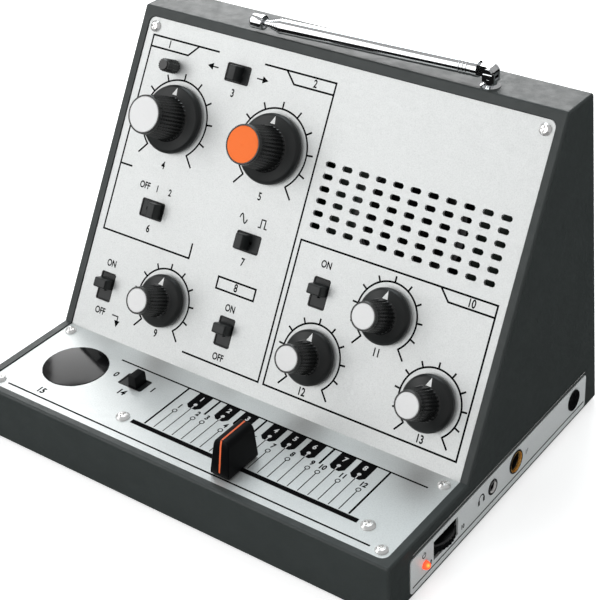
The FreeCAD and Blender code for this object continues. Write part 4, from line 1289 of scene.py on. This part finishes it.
@dataclass
class SideStrip:
    """Side strip with its lamp, wheel, sockets, signs and plain disc."""

    main_size: SocketSize = SocketSize(5.05, 4.5, 2.7, 14.0)
    phones_size: SocketSize = SocketSize(3.3, 2.6, 1.75, 8.0)
    wall: float = 2.75
    jack_z: float = 12.7
    main_y: float = FRONT_Y + 91.7
    phones_y: float = FRONT_Y + 73.2
    lamp_y: float = FRONT_Y + 23.7
    lamp_z: float = 10.5
    disc_place: Point = (59.1, 12.4)

    def build(self, shop: Shop) -> None:
        """Dress the nodes, and add sockets, lamp, signs and the disc.

        Args:
            shop: Where pieces are added.
        """
        shop.dress(Finishes.STRIP, "side_strip")
        shop.dress(Finishes.GRIP, "volume_wheel")
        self.socket(shop, "main_out", self.main_y, self.main_size, Finishes.GOLD)
        self.socket(shop, "headphone", self.phones_y, self.phones_size, Finishes.BRIGHT)
        self.lamp(shop)
        self.signs(shop)
        profile = [(0.0, 0.55), (3.6, 0.55), (3.9, 0.5), (4.3, 0.62), (4.6, 0.6), (4.75, 0.4), (4.75, 0.0)]
        place = Face.SIDE.matrix() @ Matrix.Translation(Vector((*self.disc_place, 0)) * MM)
        mesh = to_mesh("plain_disc", turned(profile, 64), place, 30)
        shop.add("plain_disc", mesh, Finishes.GLOSS, CONSOLE, "gloss")

    @staticmethod
    def turned_piece(shop: Shop, name: str, centre: Point, profile: Sequence[Point], finish: Finish,
                     slot: str, *replaced: str) -> None:
        """Add a piece turned about an axis that stands out of the strip.

        Args:
            shop: Where pieces are added.
            name: The piece's name.
            centre: (y, z) of the axis.
            profile: (radius, height over the strip) points.
            finish: Its finish.
            slot: The record's material slot.
            replaced: CAD nodes that it stands for.
        """
        place = Face.SIDE.matrix() @ Matrix.Translation(Vector((*centre, 0)) * MM)
        mesh = to_mesh(name, turned(profile, 64), place, 35)
        shop.add(name, mesh, finish, CONSOLE, slot, *replaced)

    def socket(self, shop: Shop, name: str, y: float, size: SocketSize, plating: Finish) -> None:
        """Build a socket: its body, a black collar, a plated funnel and a dark barrel.

        Args:
            shop: Where pieces are added.
            name: Start of the pieces' names and of the CAD node, whose body is kept behind the wall.
            y: The socket's place along the strip.
            size: The socket's sizes.
            plating: Finish of the funnel.
        """
        centre = (y, self.jack_z)
        collar, mouth, barrel = size.collar, size.mouth, size.barrel
        node = name + "_jack"
        work = bmesh.new()
        work.from_mesh(shop.nodes[node].data)
        wall = (STRIP_X - self.wall) * MM
        front = [face for face in work.faces if any(vert.co.x > wall for vert in face.verts)]
        bmesh.ops.delete(work, geom=front, context="FACES")
        bmesh.ops.scale(work, vec=(1 / MM, 1 / MM, 1 / MM), verts=work.verts)
        shop.add(name + "_body", to_mesh(name + "_body", work), Finishes.SOCKET, CONSOLE, "gloss", node)
        ring = [(collar, -2.8), (collar, 0.28), (collar - 0.1, 0.38), (mouth + 0.15, 0.4),
                (mouth + 0.05, 0.3), (mouth + 0.05, -2.8)]
        self.turned_piece(shop, name + "_collar", centre, ring, Finishes.SOCKET, "gloss")
        rim, depth = mouth - 0.45, -0.22 * mouth
        funnel = [(mouth, 0.3), (mouth - 0.12, 0.36), (mouth - 0.25, 0.28), (mouth - 0.32, 0.0), (rim, depth)]
        self.turned_piece(shop, name + "_funnel", centre, funnel, plating, "chrome")
        inside = [(rim, depth), (rim - 0.1, depth - 0.1), (rim - 0.2, -3.0), (barrel, -3.4),
                  (barrel, -size.length)]
        self.turned_piece(shop, name + "_barrel", centre, inside, Finishes.SOCKET, "gloss")

    def lamp(self, shop: Shop) -> None:
        """Build the lamp's round head and the plate round it.

        Args:
            shop: Where pieces are added.
        """
        centre = (self.lamp_y, self.lamp_z)
        head = [(1.75, -4.0), (1.75, 0.55), (1.68, 0.95), (1.48, 1.4), (1.2, 1.78), (0.8, 2.08), (0.4, 2.24),
                (0.0, 2.28)]
        self.turned_piece(shop, "power_lamp", centre, head, Finishes.LAMP, "lamp", "power_led")
        plate = [(2.57, -0.5), (2.57, -0.03), (2.5, 0.0), (1.9, 0.0), (1.82, -0.08), (1.82, -0.5)]
        self.turned_piece(shop, "power_lamp_plate", centre, plate, Finishes.STRIP, "strip")

    def signs(self, shop: Shop) -> None:
        """Print the line, the headphone sign, the power sign and numbers, and lay a thin bright line on the
        strip's upper edge as a painted highlight.

        Args:
            shop: Where pieces are added.
        """
        ink = Ink(Face.SIDE)
        ink.stroke([(-66.5, 5.6), (69.0, 5.6)], 0.6)
        y, z = self.phones_y - 8.6, self.jack_z
        band, cup = 1.9, 0.62
        ink.arc((y, z), band, -90, 90, 0.6, 20)
        for middle in (y - band, y + band):
            ink.polygon([(middle - cup, z - 2.1), (middle + cup, z - 2.1), (middle + cup, z + 0.1),
                         (middle - cup, z + 0.1)])
        y, z = self.lamp_y - 0.6, 15.2
        ink.arc((y, z), 1.1, 35, 325, ink.fine, 20)
        ink.stroke([(y, z + 0.2), (y, z + 1.6)], ink.fine)
        numbers = {"0": (self.lamp_y + 4.2, 8.6), "10": (FRONT_Y + 50.6, 9.0),
                   "16": (self.main_y + 9.0, 12.0)}
        for number, place in numbers.items():
            ink.text(number, place, 1.9, 0.9, 0.04)
        ink.finish(shop, "side_print", Finishes.INK, "strip")
        # Painted highlight: a thin bright line along the strip's upper edge, standing in for light caught on
        # that edge.
        edge = Ink(Face.SIDE)
        edge.stroke([(-66.4, 20.9), (68.9, 20.9)], edge.fine)
        edge.finish(shop, "side_edge_painted_highlight", Finishes.BRIGHT, "strip")


@dataclass
class Antenna:
    """Chromed telescopic antenna with its pressed rings, beaded stages and end knob."""

    pivot: Place = (66.15, 48.785, 158.6)
    drop: float = 0.9
    yaw: float = 1.8
    radius: float = 3.2
    tube_end: float = 98.6
    ring_starts: tuple[float, ...] = (9.0, 10.6, 12.2)
    stage_thinner: float = 0.35
    stage_gap: float = 1.15

    def build(self, shop: Shop) -> None:
        """Dress the antenna, and add the rings in its foot, the stages' beads and the end knob.

        Args:
            shop: Where pieces are added.
        """
        shop.dress(Finishes.CHROME, "antenna_mount", "antenna_swivel", "antenna_hinge_pin", "antenna_tube",
                   *(f"antenna_section_{i}" for i in range(2, 6)), "antenna_rod")
        turn = (Matrix.Rotation(math.radians(self.yaw), 4, "Z")
                @ Matrix.Rotation(math.radians(180 - self.drop), 4, "Y"))
        along = Matrix.Rotation(math.radians(90), 4, "Y")
        place = Matrix.Translation(Vector(self.pivot) * MM) @ turn @ along
        for number, start in enumerate(self.ring_starts):
            profile = [(self.radius - 0.1, start), (self.radius + 0.12, start + 0.25),
                       (self.radius + 0.16, start + 0.5), (self.radius + 0.12, start + 0.75),
                       (self.radius - 0.1, start + 1.0)]
            name = f"antenna_ring_{number + 1}"
            mesh = to_mesh(name, turned(profile, 48), place, 60)
            shop.add(name, mesh, Finishes.CHROME, "antenna_arm", "chrome")
        bodies = ("antenna_arm", *(f"antenna_stage_{i}" for i in range(2, 6)))
        for number, body in enumerate(bodies):
            radius = self.radius - self.stage_thinner * number
            end = self.tube_end + self.stage_gap * number
            profile = [(radius - 0.12, end - 0.42), (radius + 0.03, end - 0.36), (radius + 0.1, end - 0.22),
                       (radius + 0.06, end - 0.06), (radius - 0.1, end + 0.03), (radius - 0.3, end + 0.03)]
            name = f"antenna_bead_{number + 1}"
            shop.add(name, to_mesh(name, turned(profile, 48), place, 30), Finishes.CHROME, body, "chrome")
        profile = [(1.5, 8.9), (2.15, 8.9), (2.3, 8.3), (2.9, 8.3), (3.12, 8.42), (3.2, 8.7), (3.2, 13.5),
                   (3.1, 13.95), (2.8, 14.3), (2.3, 14.48), (0.0, 14.5)]
        mesh = to_mesh("antenna_knob", turned([(r, self.tube_end + z) for r, z in profile], 64), place, 40)
        shop.add("antenna_knob", mesh, Finishes.CHROME, "antenna_end", "chrome", "antenna_tip")


@dataclass
class Trigger:
    """The large glossy button."""

    def build(self, shop: Shop) -> None:
        """Dress the button."""
        shop.dress(Finishes.GLOSS, "trigger_button")


@dataclass(frozen=True)
class Light:
    """A soft square light: its place and side in metres, its power in watts and its colour."""

    name: str
    place: Place
    size: float
    power: float
    tint: Colour = (1.0, 1.0, 1.0)


@dataclass
class Studio:
    """Floor, lights and camera, with places in metres."""

    position: Place = (0.33947, -0.43839, 0.41153)
    angles: Place = (1.10358044, 0.02946214, 0.61845778)
    focal: float = 94.862
    shift: Point = (-0.02751, -0.26823)
    aim: Place = (0.0, 0.0, 0.06)
    room_light: float = 0.38
    horizon: Point = (0.48, 0.505)  # the room turns light between these shares of its height
    floor_half: float = 6000.0      # in millimetres, as all meshes are
    floor_glow: float = 0.60
    lights: tuple[Light, ...] = (
        Light("key_light", (-1.02, -1.66, 0.76), 1.8, 14.4),
        Light("left_light", (-1.15, -0.55, 1.00), 0.8, 3.0),
        Light("back_light", (-1.00, 1.45, 0.92), 1.3, 22.0),
        Light("top_light", (-0.40, 0.55, 1.60), 1.0, 9.0, (0.88, 0.97, 1.0)),
    )

    def build(self) -> None:
        """Make the studio."""
        bpy.context.scene.view_settings.view_transform = "Standard"
        self.floor()
        self.camera()
        for light in self.lights:
            self.hang(light)
        self.surroundings()

    def surroundings(self) -> None:
        """Light room above, and little light from below the floor's edge."""
        world = bpy.data.worlds.new("studio_world")
        bpy.context.scene.world = world
        world.use_nodes = True
        tree = world.node_tree
        background = tree.nodes["Background"]
        place = tree.nodes.new("ShaderNodeTexCoord")
        axes = tree.nodes.new("ShaderNodeSeparateXYZ")
        tree.links.new(place.outputs["Generated"], axes.inputs["Vector"])
        ramp = tree.nodes.new("ShaderNodeValToRGB")
        ranges = tree.nodes.new("ShaderNodeMapRange")
        ranges.inputs["From Min"].default_value = -1.0
        ranges.inputs["From Max"].default_value = 1.0
        tree.links.new(axes.outputs["Z"], ranges.inputs["Value"])
        tree.links.new(ranges.outputs["Result"], ramp.inputs["Fac"])
        points = ramp.color_ramp.elements
        points[0].position, points[1].position = self.horizon
        points[0].color = (0.02, 0.02, 0.02, 1.0)
        points[1].color = (1.0, 1.0, 1.0, 1.0)
        tree.links.new(ramp.outputs["Color"], background.inputs["Color"])
        background.inputs["Strength"].default_value = self.room_light

    def floor(self) -> None:
        """Lay a wide pale floor that glows a little, as a light table does."""
        work = bmesh.new()
        bmesh.ops.create_grid(work, x_segments=1, y_segments=1, size=self.floor_half)
        floor = bpy.data.objects.new("floor", to_mesh("floor", work))
        bpy.context.scene.collection.objects.link(floor)
        pale = (0.93, 0.93, 0.93)
        finish = Finish("floor_pale", pale, 0.8, mottle=0.0, depth=0.000001, specular=0.1).build()
        shader = finish.node_tree.nodes["Principled BSDF"].inputs
        shader["Emission Color"].default_value = (1.0, 1.0, 1.0, 1.0)
        shader["Emission Strength"].default_value = self.floor_glow
        floor.data.materials.append(finish)
        floor.visible_glossy = False

    def hang(self, light: Light) -> None:
        """Hang a light that looks at the object.

        Args:
            light: What is hung.
        """
        data = bpy.data.lights.new(light.name, "AREA")
        data.shape, data.size, data.energy, data.color = "SQUARE", light.size, light.power, light.tint
        lamp = bpy.data.objects.new(light.name, data)
        lamp.location = light.place
        way = Vector(self.aim) - Vector(light.place)
        lamp.rotation_euler = way.to_track_quat("-Z", "Y").to_euler()
        bpy.context.scene.collection.objects.link(lamp)

    def camera(self) -> None:
        """Set the camera."""
        data = bpy.data.cameras.new("camera")
        data.sensor_width = 36.0
        data.lens = self.focal
        data.shift_x, data.shift_y = self.shift
        data.clip_start, data.clip_end = 0.01, 50.0
        camera = bpy.data.objects.new("camera", data)
        camera.location, camera.rotation_euler = self.position, self.angles
        bpy.context.scene.collection.objects.link(camera)
        bpy.context.scene.camera = camera


def main() -> None:
    """Build the looks in order."""
    logging.basicConfig(level=logging.INFO, format="%(message)s")
    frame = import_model()
    shop = Shop(frame)
    dials = Dials()
    assemblies = (Housing(), dials, Legend(dials), NoteScale(), SlideSwitches(), NoteFader(), SideStrip(),
                  Antenna(), Trigger())
    for assembly in assemblies:
        assembly.build(shop)
    Studio().build()


if __name__ == "__main__":
    main()
